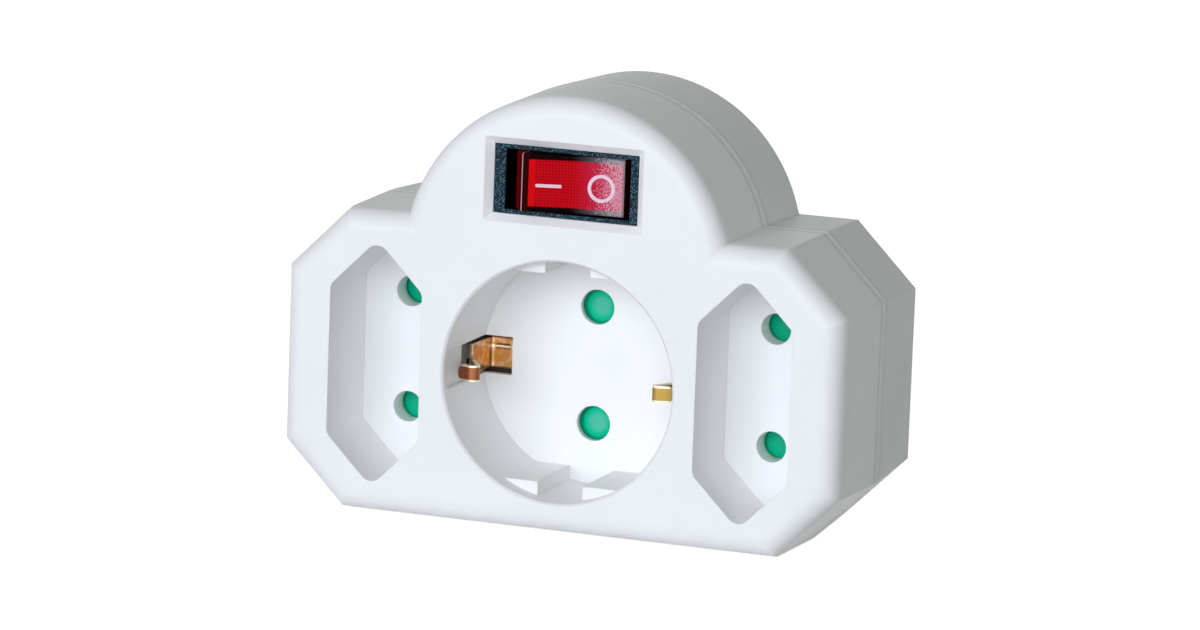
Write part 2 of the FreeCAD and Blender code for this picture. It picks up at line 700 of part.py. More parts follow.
def make_wire_coil(name, radius, wire, height, turns):
    """A thin wire of six-sided section wound into a coil along its own Z."""
    spring = doc.addObject("Part::Feature", name)
    spring.Label = name
    helix = Part.makeHelix(height / turns, height, radius)
    path = Part.Wire(helix.Edges)
    start = path.Edges[0].valueAt(path.Edges[0].FirstParameter)
    along = path.Edges[0].tangentAt(path.Edges[0].FirstParameter)
    across = along.cross(Vector(0, 0, 1)).normalize() * (wire / 2)
    turn = FreeCAD.Rotation(along, 360 / COIL_SIDES)
    corners = [start + across]
    for side in range(COIL_SIDES - 1):
        across = turn.multVec(across)
        corners.append(start + across)
    spring.Shape = path.makePipeShell([Part.makePolygon(corners + corners[:1])], True, True)
    return spring


def make_shutter_spring(name, centre):
    room = value_of("shutter_bed - shutter_wire - play / 2")
    spring = make_wire_coil(name, value_of("shutter_coil_radius"), value_of("shutter_wire"), room,
                            value_of("shutter_coils"))
    spring.Placement = FreeCAD.Placement(Vector(0, 0, 0), FreeCAD.Rotation(Vector(1, 0, 0), 90))
    place(spring, centre, f"{CARRIER_FRONT} + shutter_wire / 2", "0")
    return spring


# Contacts


def sleeve_profile(row, pin_radius):
    """The end view of one contact sleeve: a web with two spring leaves that pinch the pin and flare."""
    grip = f"({pin_radius} - sleeve_squeeze)"
    root = f"-({CARRIER_BACK})"
    outer = [("sleeve_spread + strip", "0"), (f"{grip} + strip", "sleeve_depth * 0.7"),
             (f"{grip} + sleeve_flare + strip", "sleeve_depth")]
    inner = [(f"{grip} + sleeve_flare", "sleeve_depth"), (grip, "sleeve_depth * 0.7"), ("sleeve_spread", "strip")]
    right = [(x, y) for x, y in outer + inner]
    left = [(f"-({x})", y) for x, y in reversed(right)]
    return [(f"{root} + {y}", f"({row}) + {x}") for x, y in right + left]


def make_busbar(name, row):
    """A stamped strip behind the carrier that joins one contact sleeve of each socket."""
    body = new_body(name)
    sketch = new_sketch(body, "XZ_Plane", f"{CARRIER_BACK} - strip")
    draw_box(sketch, "0", row, f"2 * {SOCKET_PITCH} + sleeve_length", "busbar_width")
    pad(body, sketch, "strip")
    for centre, pin_radius in zip(SOCKET_CENTRES, ("flat_pin_radius", "round_pin_radius", "flat_pin_radius")):
        sketch = new_sketch(body, "YZ_Plane", centre)
        draw_line_chain(sketch, sleeve_profile(row, pin_radius))
        pad(body, sketch, "sleeve_length", centred=True)
    sketch = new_sketch(body, "XZ_Plane", CARRIER_BACK)
    for centre, pin_radius in zip(SOCKET_CENTRES, ("flat_pin_radius", "round_pin_radius", "flat_pin_radius")):
        draw_circle(sketch, centre, row, f"{pin_radius} + play")
    pocket(body, sketch, "strip")
    return body


def make_neutral_busbar():
    """The neutral strip also has a tab that runs back into the plug and folds up to its pin."""
    body = make_busbar("neutral_busbar", PIN_ROWS[0])
    edge = "(busbar_width / 2 - pin_spacing / 2)"
    fold = "(plug_depth - plug_end_wall - plug_pin_collar_wall - strip)"
    sketch = new_sketch(body, "YZ_Plane", "pin_spacing / 2")
    draw_line_chain(sketch, [
        (f"-({CARRIER_BACK})", f"{edge} - strip"), (f"{fold} + strip", f"{edge} - strip"),
        (f"{fold} + strip", "rivet_head + strip"), (fold, "rivet_head + strip"), (fold, edge),
        (f"-({CARRIER_BACK})", edge)])
    pad(body, sketch, "busbar_width", centred=True)
    sketch = new_sketch(body, "XZ_Plane", f"-{fold}")
    draw_circle(sketch, "pin_spacing / 2", "0", "rivet_radius")
    pocket(body, sketch, "strip")
    return body


def make_plug_pin(name, x):
    """A turned pin with a blunt nose, a thicker shank and a collar in the plug's end wall, and a riveted tail."""
    body = new_body(name)
    nose = "plug_pin_length + plug_depth"
    seat = "plug_depth - plug_end_wall"
    collar = f"{seat} - plug_pin_collar_wall"
    shank, shoulder = "(round_pin_radius + plug_pin_shank)", "(plug_depth + plug_pin_shoulder)"
    revolve(body, [
        ("0", f"{collar} - strip - rivet_head_wall"), ("rivet_head", f"{collar} - strip - rivet_head_wall"),
        ("rivet_head", f"{collar} - strip"), ("rivet_radius", f"{collar} - strip"), ("rivet_radius", collar),
        ("plug_pin_collar", collar), ("plug_pin_collar", seat), (shank, seat), (shank, shoulder),
        ("round_pin_radius", shoulder), ("round_pin_radius", f"{nose} - plug_pin_nose"),
        ("round_pin_radius * 0.8", f"{nose} - plug_pin_nose / 3"), ("round_pin_radius * 0.4", nose), ("0", nose)])
    place(body, x)
    return body


def make_line_pin_tag():
    """A flat tag under the line pin's rivet, with a barrel that grips the lead."""
    body = new_body("line_pin_tag")
    collar = "plug_depth - plug_end_wall - plug_pin_collar_wall"
    sketch = new_sketch(body, "XZ_Plane", f"-({collar})")
    draw_box(sketch, "0", "busbar_width / 2", "busbar_width", "2 * busbar_width")
    draw_circle(sketch, "0", "0", "rivet_radius")
    pad(body, sketch, "strip")
    sketch = new_sketch(body, "XZ_Plane", f"-({collar}) + strip")
    draw_circle(sketch, "0", "busbar_width", "lead_radius + strip")
    draw_circle(sketch, "0", "busbar_width", "lead_radius + pivot_play")
    pad(body, sketch, "busbar_width / 2")
    place(body, "-pin_spacing / 2")
    return body


# Swept paths and the earth strap


def smooth_path(route, bend=None):
    """Joins straight runs with tangent arcs, of the radius given or as large as the runs allow."""
    edges = []
    here = route[0]
    for before, corner, after in zip(route, route[1:], route[2:]):
        arriving, leaving = corner - before, after - corner
        half_turn = arriving.getAngle(leaving) / 2
        cut = bend * math.tan(half_turn) if bend else ARC_SHARE * min(arriving.Length, leaving.Length)
        radius = cut / math.tan(half_turn)
        start = corner - arriving.normalize() * cut
        end = corner + leaving.normalize() * cut
        inward = ((start + end) * 0.5 - corner).normalize()
        middle = corner + inward * (math.hypot(radius, cut) - radius)
        edges.append(Part.LineSegment(here, start).toShape())
        edges.append(Part.Arc(start, middle, end).toShape())
        here = end
    edges.append(Part.LineSegment(here, route[-1]).toShape())
    return Part.Wire(edges)


def check_sweep(name, solid, path, area):
    """Stops the build where a swept piece doesn't have the volume of its section times its length."""
    if abs(solid.Volume / (area * path.Length) - 1) > SWEEP_TOLERANCE:
        raise ValueError(f"{name} doesn't have the volume of its section times its length")


def fold_strip(route, width, across):
    """Sweeps a flat strip's section along a folded centre line with round bends."""
    wall = value_of("strip")
    path = smooth_path(route, value_of("strip_bend"))
    along = (route[1] - route[0]).normalize()
    side = across * (width / 2)
    depth = along.cross(across) * (wall / 2)
    corners = [route[0] + side + depth, route[0] - side + depth, route[0] - side - depth, route[0] + side - depth]
    strip = path.makePipeShell([Part.makePolygon(corners + corners[:1])], True, False)
    check_sweep("earth_strap", strip, path, wall * width)
    return strip


def fold_clip_strip(plane):
    """The strap from clip to clip. Each side steps up to a shelf behind the socket's floor and a plate in the
    wall's window, then leans into the socket as a narrow tongue that turns over and ends in a round lip."""
    wall = value_of("strip")
    floor, front = -value_of(ROUND_FLOOR), -value_of(BODY_DEPTH)
    carrier = -value_of(CARRIER_BACK)
    shelf = floor + value_of("floor_wall + clip_shelf_drop + strip / 2")
    knee, step, plate = value_of("earth_knee"), value_of("clip_step"), value_of("clip_plate")
    shoulder = floor - value_of("clip_plate_height")
    lip = (value_of("clip_lip"), front + value_of("clip_lip_depth"))
    half = [(knee, plane), (knee, carrier + 6 * wall), (step, carrier + 3 * wall), (step, shelf), (plate, shelf),
            (plate, shoulder), (value_of("clip_apex"), front + value_of("clip_apex_depth")), lip]
    route = [Vector(-x, y, 0) for x, y in reversed(half)] + [Vector(x, y, 0) for x, y in half]
    wide = value_of("earth_width")
    strip = fold_strip(route, wide, Vector(0, 0, 1))
    tongue, shift = value_of("clip_tongue_width"), value_of("clip_tongue_shift")
    for low, high in ((-wide, shift - tongue / 2), (shift + tongue / 2, wide)):
        trim = Part.makeBox(4 * plate, shoulder - front, high - low, Vector(-2 * plate, front, low))
        strip = strip.cut(trim)
    ends = [edge for edge in strip.Edges if abs(edge.Length - wall) < 1e-3
            and math.hypot(abs(edge.CenterOfMass.x) - lip[0], edge.CenterOfMass.y - lip[1]) < wall / 4]
    strip = strip.makeFillet(0.4 * tongue, ends)
    bead, bend = value_of("earth_bead"), value_of("strip_bend")
    for way in SIDES:
        start = Vector(way * (step + bend + wall / 2), shelf - wall / 2, value_of("earth_bead_rise"))
        strip = strip.fuse(Part.makeCylinder(bead, plate - step - 2 * bend - wall, start, Vector(way, 0, 0)))
    return strip


def make_earth_strap():
    """Clips in the round socket on one folded strip, and side contacts at the plug's top and bottom on another,
    welded together where they cross."""
    strap = doc.addObject("Part::Feature", "earth_strap")
    strap.Label = "earth_strap"
    plane = -value_of("earth_plane + strip / 2")
    groove = value_of("plug_radius - earth_groove_depth + play / 2 + strip / 2")
    end = plane + value_of("earth_reach")
    blades = fold_strip([Vector(0, end, -groove), Vector(0, plane, -groove), Vector(0, plane, groove),
                         Vector(0, end, groove)], value_of("earth_width"), Vector(1, 0, 0))
    strap.Shape = fold_clip_strip(plane).fuse(blades).removeSplitter()
    return strap


# Fasteners


def make_housing_screws():
    """Four self-tapping screws with pan heads and cross slots."""
    screws = doc.addObject("Part::Feature", "housing_screws")
    screws.Label = "housing_screws"
    head, wall = value_of("screw_head_radius"), value_of("screw_head_wall")
    shank, length = value_of("screw_radius"), value_of("screw_length")
    seat = value_of("screw_head_depth")
    solids = []
    for x, z in SCREW_PLACES:
        centre = Vector(value_of(x), -seat, value_of(z))
        top = Part.makeCylinder(head, wall, centre, Vector(0, 1, 0))
        top = top.makeChamfer(wall / 2, [edge for edge in top.Edges if edge.BoundBox.YMin > wall - seat - 1e-3])
        stem = Part.makeCylinder(shank, length - shank, centre, Vector(0, -1, 0))
        point = Part.makeCone(shank, shank / 4, shank, centre - Vector(0, length - shank, 0), Vector(0, -1, 0))
        screw = top.fuse([stem, point])
        for angle in (0, 90):
            slot = Part.makeBox(value_of("cross_width"), value_of("cross_depth") * 2, head * 1.3)
            slot.translate(Vector(-slot.BoundBox.XLength / 2, wall - value_of("cross_depth"), -head * 0.65))
            slot.rotate(Vector(0, 0, 0), Vector(0, 1, 0), angle)
            slot.translate(centre)
            screw = screw.cut(slot)
        solids.append(screw)
    screws.Shape = Part.makeCompound(solids)
    return screws


# Rocker switch


def make_switch_housing():
    body = new_body("switch_housing")
    sketch = new_sketch(body, "XZ_Plane", SWITCH_SEAT)
    draw_box(sketch, "0", "switch_rise", "switch_seat_width - 2 * switch_fit", "switch_seat_height - 2 * switch_fit")
    pad(body, sketch, "switch_seat_depth")
    sketch = new_sketch(body, "XZ_Plane", SWITCH_BACK)
    draw_box(sketch, "0", "switch_rise", "switch_body_width", "switch_seat_height - 2 * switch_fit")
    pad(body, sketch, f"{SWITCH_SEAT} - {SWITCH_BACK}")
    sketch = new_sketch(body, "XZ_Plane", BEZEL_FACE)
    draw_box(sketch, "switch_well_shift", "switch_rise", "switch_well_width", "switch_well_height")
    pocket(body, sketch, f"{BEZEL_FACE} - {WELL_FLOOR}")
    sketch = new_sketch(body, "XY_Plane", "switch_rise")
    draw_circle(sketch, "switch_well_shift", f"-{ROCKER_PIVOT}", "rocker_pivot_radius + pivot_play")
    pocket(body, sketch, "2 * switch_seat_height", centred=True)
    sketch = new_sketch(body, "XZ_Plane", WELL_FLOOR)
    for step in (-1, 0, 1):
        draw_box(sketch, f"switch_well_shift + {step} * terminal_pitch", "switch_rise", "terminal_wall",
                 "terminal_width")
    pocket(body, sketch, "switch_floor")
    return body


def make_switch_rocker():
    """The lit rocker, drawn level about its pivot and set down tilted, with its right side pressed."""
    body = new_body("switch_rocker")
    half_face, half_skirt = "rocker_face / 2", "rocker_skirt / 2"
    sketch = new_sketch(body, "XY_Plane")
    draw_line_chain(sketch, [
        (f"-{half_face}", "-rocker_rise"), ("0", "-rocker_valley"), (half_face, "-rocker_rise"),
        (half_skirt, "-rocker_shoulder"), (half_skirt, "rocker_hem"), (f"-{half_skirt}", "rocker_hem"),
        (f"-{half_skirt}", "-rocker_shoulder")])
    pad(body, sketch, "rocker_height", centred=True)
    tall = value_of("rocker_height / 2 - 0.01")
    dress(body, "Fillet", "rocker_wall * 0.4", lambda edge: edge.BoundBox.YMax < -value_of("rocker_shoulder")
          + 1e-3 and (edge.BoundBox.ZMin > tall or edge.BoundBox.ZMax < -tall))
    inner_face, inner_skirt = "(rocker_face / 2 - rocker_wall)", "(rocker_skirt / 2 - rocker_wall)"
    sketch = new_sketch(body, "XY_Plane")
    draw_line_chain(sketch, [
        (f"-{inner_face}", "rocker_wall - rocker_rise"), ("0", "rocker_wall - rocker_valley"),
        (inner_face, "rocker_wall - rocker_rise"), (inner_skirt, "-rocker_shoulder"),
        (inner_skirt, "rocker_hem + 1"), (f"-{inner_skirt}", "rocker_hem + 1"),
        (f"-{inner_skirt}", "-rocker_shoulder")])
    pocket(body, sketch, "rocker_height - 2 * rocker_wall", centred=True)
    sketch = new_sketch(body, "XZ_Plane", "rocker_valley - rocker_wall / 2")
    draw_circle(sketch, "0", "0", "plunger_tube_radius")
    pad(body, sketch, "plunger_tube_length + rocker_wall / 2", reverse=True)
    sketch = new_sketch(body, "XZ_Plane", f"{ROCKER_INSIDE} - plunger_tube_length")
    draw_circle(sketch, "0", "0", "plunger_bore_radius")
    pocket(body, sketch, "plunger_tube_length - plunger_bore_floor", forward=True)
    sketch = new_sketch(body, "XY_Plane", "rocker_height / 2 - rocker_wall / 2")
    draw_circle(sketch, "0", "0", "rocker_pivot_radius")
    pad(body, sketch, "(switch_seat_height - rocker_height + rocker_wall) / 2 - 2 * switch_fit")
    sketch = new_sketch(body, "XY_Plane", "rocker_wall / 2 - rocker_height / 2")
    draw_circle(sketch, "0", "0", "rocker_pivot_radius")
    pad(body, sketch, "(switch_seat_height - rocker_height + rocker_wall) / 2 - 2 * switch_fit", reverse=True)
    tilt_about_pivot(body)
    return body


def tilt_about_pivot(item):
    """Sets a piece that the rocker carries down on the rocker's pivot, at its tilt."""
    item.Placement = FreeCAD.Placement(Vector(0, 0, 0), FreeCAD.Rotation(Vector(0, 0, 1), value_of("rocker_tilt")))
    place(item, "switch_well_shift", ROCKER_PIVOT, "switch_rise")


def carry_on_rocker(item, start, turn):
    """Sets a piece down at a place and turn of its own within the tilted rocker."""
    pivot = Vector(value_of("switch_well_shift"), -value_of(ROCKER_PIVOT), value_of("switch_rise"))
    tilt = FreeCAD.Placement(pivot, FreeCAD.Rotation(Vector(0, 0, 1), value_of("rocker_tilt")))
    item.Placement = tilt.multiply(FreeCAD.Placement(start, turn))


def make_switch_plunger():
    """A turned pin in the rocker's bore, with a guide stem, a head for the spring and a round tip."""
    body = new_body("switch_plunger")
    stem = "(plunger_head - plunger_wire - pivot_play)"
    head_end = "(plunger_head_place + plunger_head_wall)"
    stem_start = f"({PLUNGER_BORE_END} + 2 * play)"
    revolve(body, [
        ("0", stem_start), (stem, stem_start), (stem, "plunger_head_place"),
        ("plunger_head", "plunger_head_place"), ("plunger_head", head_end), ("plunger_radius", head_end),
        ("plunger_radius", "plunger_reach - plunger_radius / 2"), ("plunger_radius / 2", "plunger_reach"),
        ("0", "plunger_reach")])
    tilt_about_pivot(body)
    return body


def make_plunger_spring():
    """A short coil between the bottom of the rocker's bore and the plunger's head."""
    wire = value_of("plunger_wire")
    start = value_of(PLUNGER_BORE_END) + wire
    end = value_of("plunger_head_place") - wire
    spring = make_wire_coil("plunger_spring", value_of("plunger_head - plunger_wire / 2"), wire, end - start,
                            value_of("plunger_coils"))
    carry_on_rocker(spring, Vector(0, start, 0), FreeCAD.Rotation(Vector(1, 0, 0), -90))
    return spring


def make_lamp_piece(name, side, radius, length):
    """A small round piece that lies along the rocker, close behind its face."""
    piece = doc.addObject("Part::Cylinder", name)
    piece.Label = name
    piece.setExpression("Radius", bound(radius))
    piece.setExpression("Height", bound(length))
    doc.recompute()
    shift = value_of("plunger_tube_radius + play")
    start = Vector(side * shift, value_of(f"rocker_wall - rocker_valley + {radius} + play"), 0)
    carry_on_rocker(piece, start, FreeCAD.Rotation(Vector(0, 0, 1), Vector(side, 0, 0)))
    return piece


def make_switch_lever():
    """A bent strip that rocks on the middle terminal and closes the circuit at its right end."""
    body = new_body("switch_lever")
    sketch = new_sketch(body, "XY_Plane")
    draw_line_chain(sketch, [
        ("-lever_half", "-lever_bend"), ("0", "0"), ("lever_half", "-lever_bend"),
        ("lever_half", "-lever_bend - strip"), ("0", "-strip"), ("-lever_half", "-lever_bend - strip")])
    pad(body, sketch, "lever_width", centred=True)
    body.Placement = FreeCAD.Placement(Vector(0, 0, 0), FreeCAD.Rotation(Vector(0, 0, 1), -value_of("lever_tilt")))
    place(body, "switch_well_shift", f"{TERMINAL_TOP} + lever_play", "switch_rise")
    return body


def make_switch_terminal(name, step):
    """A flat blade through the switch's floor, with a short foot inside and a push-on tab outside."""
    body = new_body(name)
    sketch = new_sketch(body, "XZ_Plane", f"{SWITCH_BACK} - terminal_length")
    draw_box(sketch, "0", "0", "terminal_wall", "terminal_width")
    pad(body, sketch, "terminal_length + switch_floor + terminal_rise")
    place(body, f"switch_well_shift + {step} * terminal_pitch", "0", "switch_rise")
    return body


# Inner leads


def make_lead(name, route):
    """A round lead along straight runs joined by tangent arcs."""
    lead = doc.addObject("Part::Feature", name)
    lead.Label = name
    radius = value_of("lead_radius")
    path = smooth_path(route)
    section = Part.Wire(Part.makeCircle(radius, route[0], route[1] - route[0]))
    lead.Shape = path.makePipeShell([section], True, True)
    check_sweep(name, lead.Shape, path, math.pi * radius ** 2)
    return lead


def make_leads():
    """Three leads in the space behind the carrier, from the switch's tabs to the pin and the busbars."""
    tab = -value_of(f"{SWITCH_BACK} - terminal_length") + CONTACT_GAP
    strip_back = -value_of(f"{CARRIER_BACK} - strip") + CONTACT_GAP
    rise, row = value_of("switch_rise"), value_of("pin_spacing / 2")
    tabs = [value_of(f"switch_well_shift + {step} * terminal_pitch") for step in (-1, 0, 1)]
    back = -value_of("shell_wall + 2 * lead_radius + 2 * play")
    pin_end = value_of("plug_depth - plug_end_wall - plug_pin_collar_wall - strip") - CONTACT_GAP
    barrel = value_of("busbar_width")
    right = tabs[2] + value_of("line_lead_side")
    left = tabs[0] - value_of("neutral_lead_side")
    line_in = [(-row, pin_end, barrel), (-row, back, barrel), (tabs[1], back, rise), (tabs[1], tab, rise)]
    line_out = [(tabs[2], tab, rise), (tabs[2], back, rise), (right, back, row), (right, strip_back, row)]
    neutral = [(tabs[0], tab, rise), (tabs[0], back, rise), (left, back, 0.16 * rise), (left, back, -row),
               (left, strip_back, -row)]
    return [make_lead(name, [Vector(*point) for point in route]) for name, route in (
        ("line_lead_to_switch", line_in), ("line_lead_to_busbar", line_out), ("neutral_lead_to_lamp", neutral))]


def build_all():
    pieces = [make_front_cover(), make_rear_cover(), make_contact_carrier()]
    pieces.append(make_shutter("round_socket_shutter", "0", "round_hole_radius"))
    pieces.append(make_shutter("left_socket_shutter", f"-{SOCKET_PITCH}", "flat_hole_radius"))
    pieces.append(make_shutter("right_socket_shutter", SOCKET_PITCH, "flat_hole_radius"))
    for name, centre in (("round", "0"), ("left", f"-{SOCKET_PITCH}"), ("right", SOCKET_PITCH)):
        pieces.append(make_shutter_spring(f"{name}_shutter_spring", centre))
    pieces += [make_busbar("line_busbar", PIN_ROWS[1]), make_neutral_busbar(), make_earth_strap()]
    pieces += [make_plug_pin("line_plug_pin", "-pin_spacing / 2"), make_plug_pin("neutral_plug_pin", "pin_spacing / 2")]
    pieces += [make_line_pin_tag(), make_housing_screws()]
    pieces += [make_switch_housing(), make_switch_rocker(), make_switch_plunger(), make_plunger_spring()]
    pieces.append(make_lamp_piece("indicator_lamp", -1, "lamp_radius", "lamp_length"))
    pieces.append(make_lamp_piece("lamp_resistor", 1, "resistor_radius", "resistor_length"))
    pieces.append(make_switch_lever())
    for name, step in (("neutral", -1), ("input", 0), ("output", 1)):
        pieces.append(make_switch_terminal(f"switch_{name}_terminal", step))
    return pieces + make_leads()


pieces = build_all()
doc.recompute()
for item in doc.Objects:
    if "Invalid" in item.State or "Error" in item.State:
        raise ValueError(f"{item.Name} could not be worked out: {item.State}")
for piece in pieces:
    if piece.Shape.isNull() or not piece.Shape.isValid() or not piece.Shape.Solids:
        raise ValueError(f"{piece.Label} has no sound shape")

os.makedirs("parts", exist_ok=True)
for piece in pieces:
    piece.Shape.exportStep(f"parts/{piece.Label}.step")
    box = piece.Shape.BoundBox
    print(f"{piece.Label}: volume {piece.Shape.Volume:.1f}, solids {len(piece.Shape.Solids)}, "
          f"x {box.XMin:.2f} {box.XMax:.2f}, y {box.YMin:.2f} {box.YMax:.2f}, z {box.ZMin:.2f} {box.ZMax:.2f}")
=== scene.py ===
"""Looks of a plug-in adapter with an earthed socket, two flat sockets and a lit rocker switch.

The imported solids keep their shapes. This script gives them procedural materials, adds the two printed
marks on the rocker, and sets up the studio and the camera.

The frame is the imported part's own: X to the right, Y towards the wall, Z up. The camera and the studio
are in metres, the materials and the marks in millimetres. Colours are linear red, green and blue.
"""

import json

import bmesh
import bpy
import numpy as np
from mathutils import Matrix, Vector


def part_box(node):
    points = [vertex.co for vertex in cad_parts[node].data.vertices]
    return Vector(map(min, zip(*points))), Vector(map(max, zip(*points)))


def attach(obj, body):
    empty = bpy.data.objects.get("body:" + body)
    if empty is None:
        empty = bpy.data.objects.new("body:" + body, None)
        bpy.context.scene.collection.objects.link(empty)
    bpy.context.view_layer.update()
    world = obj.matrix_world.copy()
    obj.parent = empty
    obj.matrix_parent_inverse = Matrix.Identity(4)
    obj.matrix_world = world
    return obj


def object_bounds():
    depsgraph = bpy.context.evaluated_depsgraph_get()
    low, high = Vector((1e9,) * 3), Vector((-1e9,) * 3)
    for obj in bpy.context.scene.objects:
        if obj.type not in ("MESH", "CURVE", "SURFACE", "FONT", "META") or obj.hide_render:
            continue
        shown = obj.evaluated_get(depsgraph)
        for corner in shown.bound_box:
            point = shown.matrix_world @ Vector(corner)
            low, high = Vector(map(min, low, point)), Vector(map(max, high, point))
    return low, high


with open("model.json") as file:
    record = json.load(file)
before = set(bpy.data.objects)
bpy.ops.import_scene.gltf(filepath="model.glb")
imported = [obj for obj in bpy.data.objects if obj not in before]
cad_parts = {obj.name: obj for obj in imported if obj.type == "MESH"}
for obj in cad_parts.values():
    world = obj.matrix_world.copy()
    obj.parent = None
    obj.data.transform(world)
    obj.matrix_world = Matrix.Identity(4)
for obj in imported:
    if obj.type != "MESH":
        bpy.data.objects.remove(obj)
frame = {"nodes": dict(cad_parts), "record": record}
CAD_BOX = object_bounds()

MM = 0.001

# Camera
CAMERA_PLACE = (0.33352, -0.9111, 0.1842)
CAMERA_RIGHT = (0.9336, 0.3565, 0.0364)
CAMERA_AHEAD = (-0.3446, 0.9210, -0.1820)
CAMERA_LENS_MM = 181.2
SENSOR_MM = 36.0
CLIP_START = 0.05
CLIP_END = 50.0

# Studio
WHITE = (1.0, 1.0, 1.0)
FILL_LIGHT = (0.145, 0.15, 0.135)
FLOOR_REACH = 6.0
FLOOR_GAP = 0.0003
FLOOR_WHITES = ((0.93, 0.93, 0.93), (0.95, 0.95, 0.95))
FLOOR_DRIFT = 0.01
FLOOR_BOUNCE = (0.7, 0.7, 0.7)
FLOOR_ROUGH = 0.8
FLOOR_UNEVEN = 0.1
FLOOR_SPECULAR = 0.1
FLOOR_GLOW = 0.8
LIGHT_TARGET = (0.0, -0.01, 0.01)
LIGHTS = {
    "front_light": dict(place=(-0.1, -1.5, -0.1), size=(2.0, 2.0), power=50.5, colour=(0.925, 0.97, 1.07)),
    # Seen in reflections, this one would put a glare on the sides that shows from the front
    "back_light": dict(place=(0.0, 1.5, 0.06), size=(0.5, 0.3), power=13.0, colour=WHITE, reflected=False),
}


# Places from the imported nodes


def node_box(node):
    """A node's lowest and highest corners, in millimetres."""
    return np.array(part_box(node)) / MM


def node_middle(node):
    """The middle of a node's box, in millimetres."""
    return node_box(node).mean(axis=0)


def rocker_face(side):
    """The flat front face of the rocker at the left (-1) or the right (1): its middle, in millimetres,
    and its normal."""
    faces = [face for face in frame["nodes"]["switch_rocker"].data.polygons if face.center.x * side > 0]
    normal = max(faces, key=lambda face: -face.normal.y * face.area).normal
    level = [face for face in faces if (face.normal - normal).length < SAME_NORMAL]
    areas = [face.area for face in level]
    centre = np.average([face.center for face in level], axis=0, weights=areas)
    return centre / MM, np.array(normal)


# The depths of the line between the covers and of the bezel's front; the right socket's distance from the
# middle one; a plug pin's distance from the middle, which a socket's holes share; the rocker's height
PARTING_PLACE = node_box("rear_cover")[0][1]
BEZEL_FRONT = node_box("switch_housing")[0][1]
SOCKET_PITCH = node_middle("right_shutter_spring")[0]
PIN_OFFSET = node_middle("neutral_plug_pin")[0]
ROCKER_HEIGHT = node_middle("switch_rocker")[2]

# The rocker's left face is raised and its right one pressed in. Facets are level up to this much
SAME_NORMAL = 0.01
LEFT_FACE = rocker_face(-1)
RIGHT_FACE = rocker_face(1)

# Places on the earth clips: the depths of the lips' back ends and of the shelves' fronts, and the heights
# of the painted highlight on each shelf's bead and of the tongue's middle
LIP_DEPTH = -29.0
SHELF_DEPTH = -18.3
BEAD_HEIGHT = 1.0
TONGUE_HEIGHT = -0.6

# Marks on the rocker: how far they stand out of its faces, where their bevel starts and how wide it is,
# how far they reach into the faces, and their sizes. A shift is from a face's middle, along it and up
MARK_PROUD = 0.03
MARK_SHOULDER = MARK_PROUD / 2
MARK_BEVEL = 0.03
MARK_DEPTH = 0.08
BAR_SHIFT = (0.27, -0.4)
BAR_LENGTH = 4.1
BAR_WIDTH = 0.54
BAR_POWER = 0.2
BAR_TOP_INSET = 0.2
BAR_STEPS = 64
RING_SHIFT = (0.4, -0.3)
RING_RADIUS = 1.95
RING_WIDTH = 0.56
RING_STEPS = 96


# Node trees


NOISE_MIDDLE = 0.5


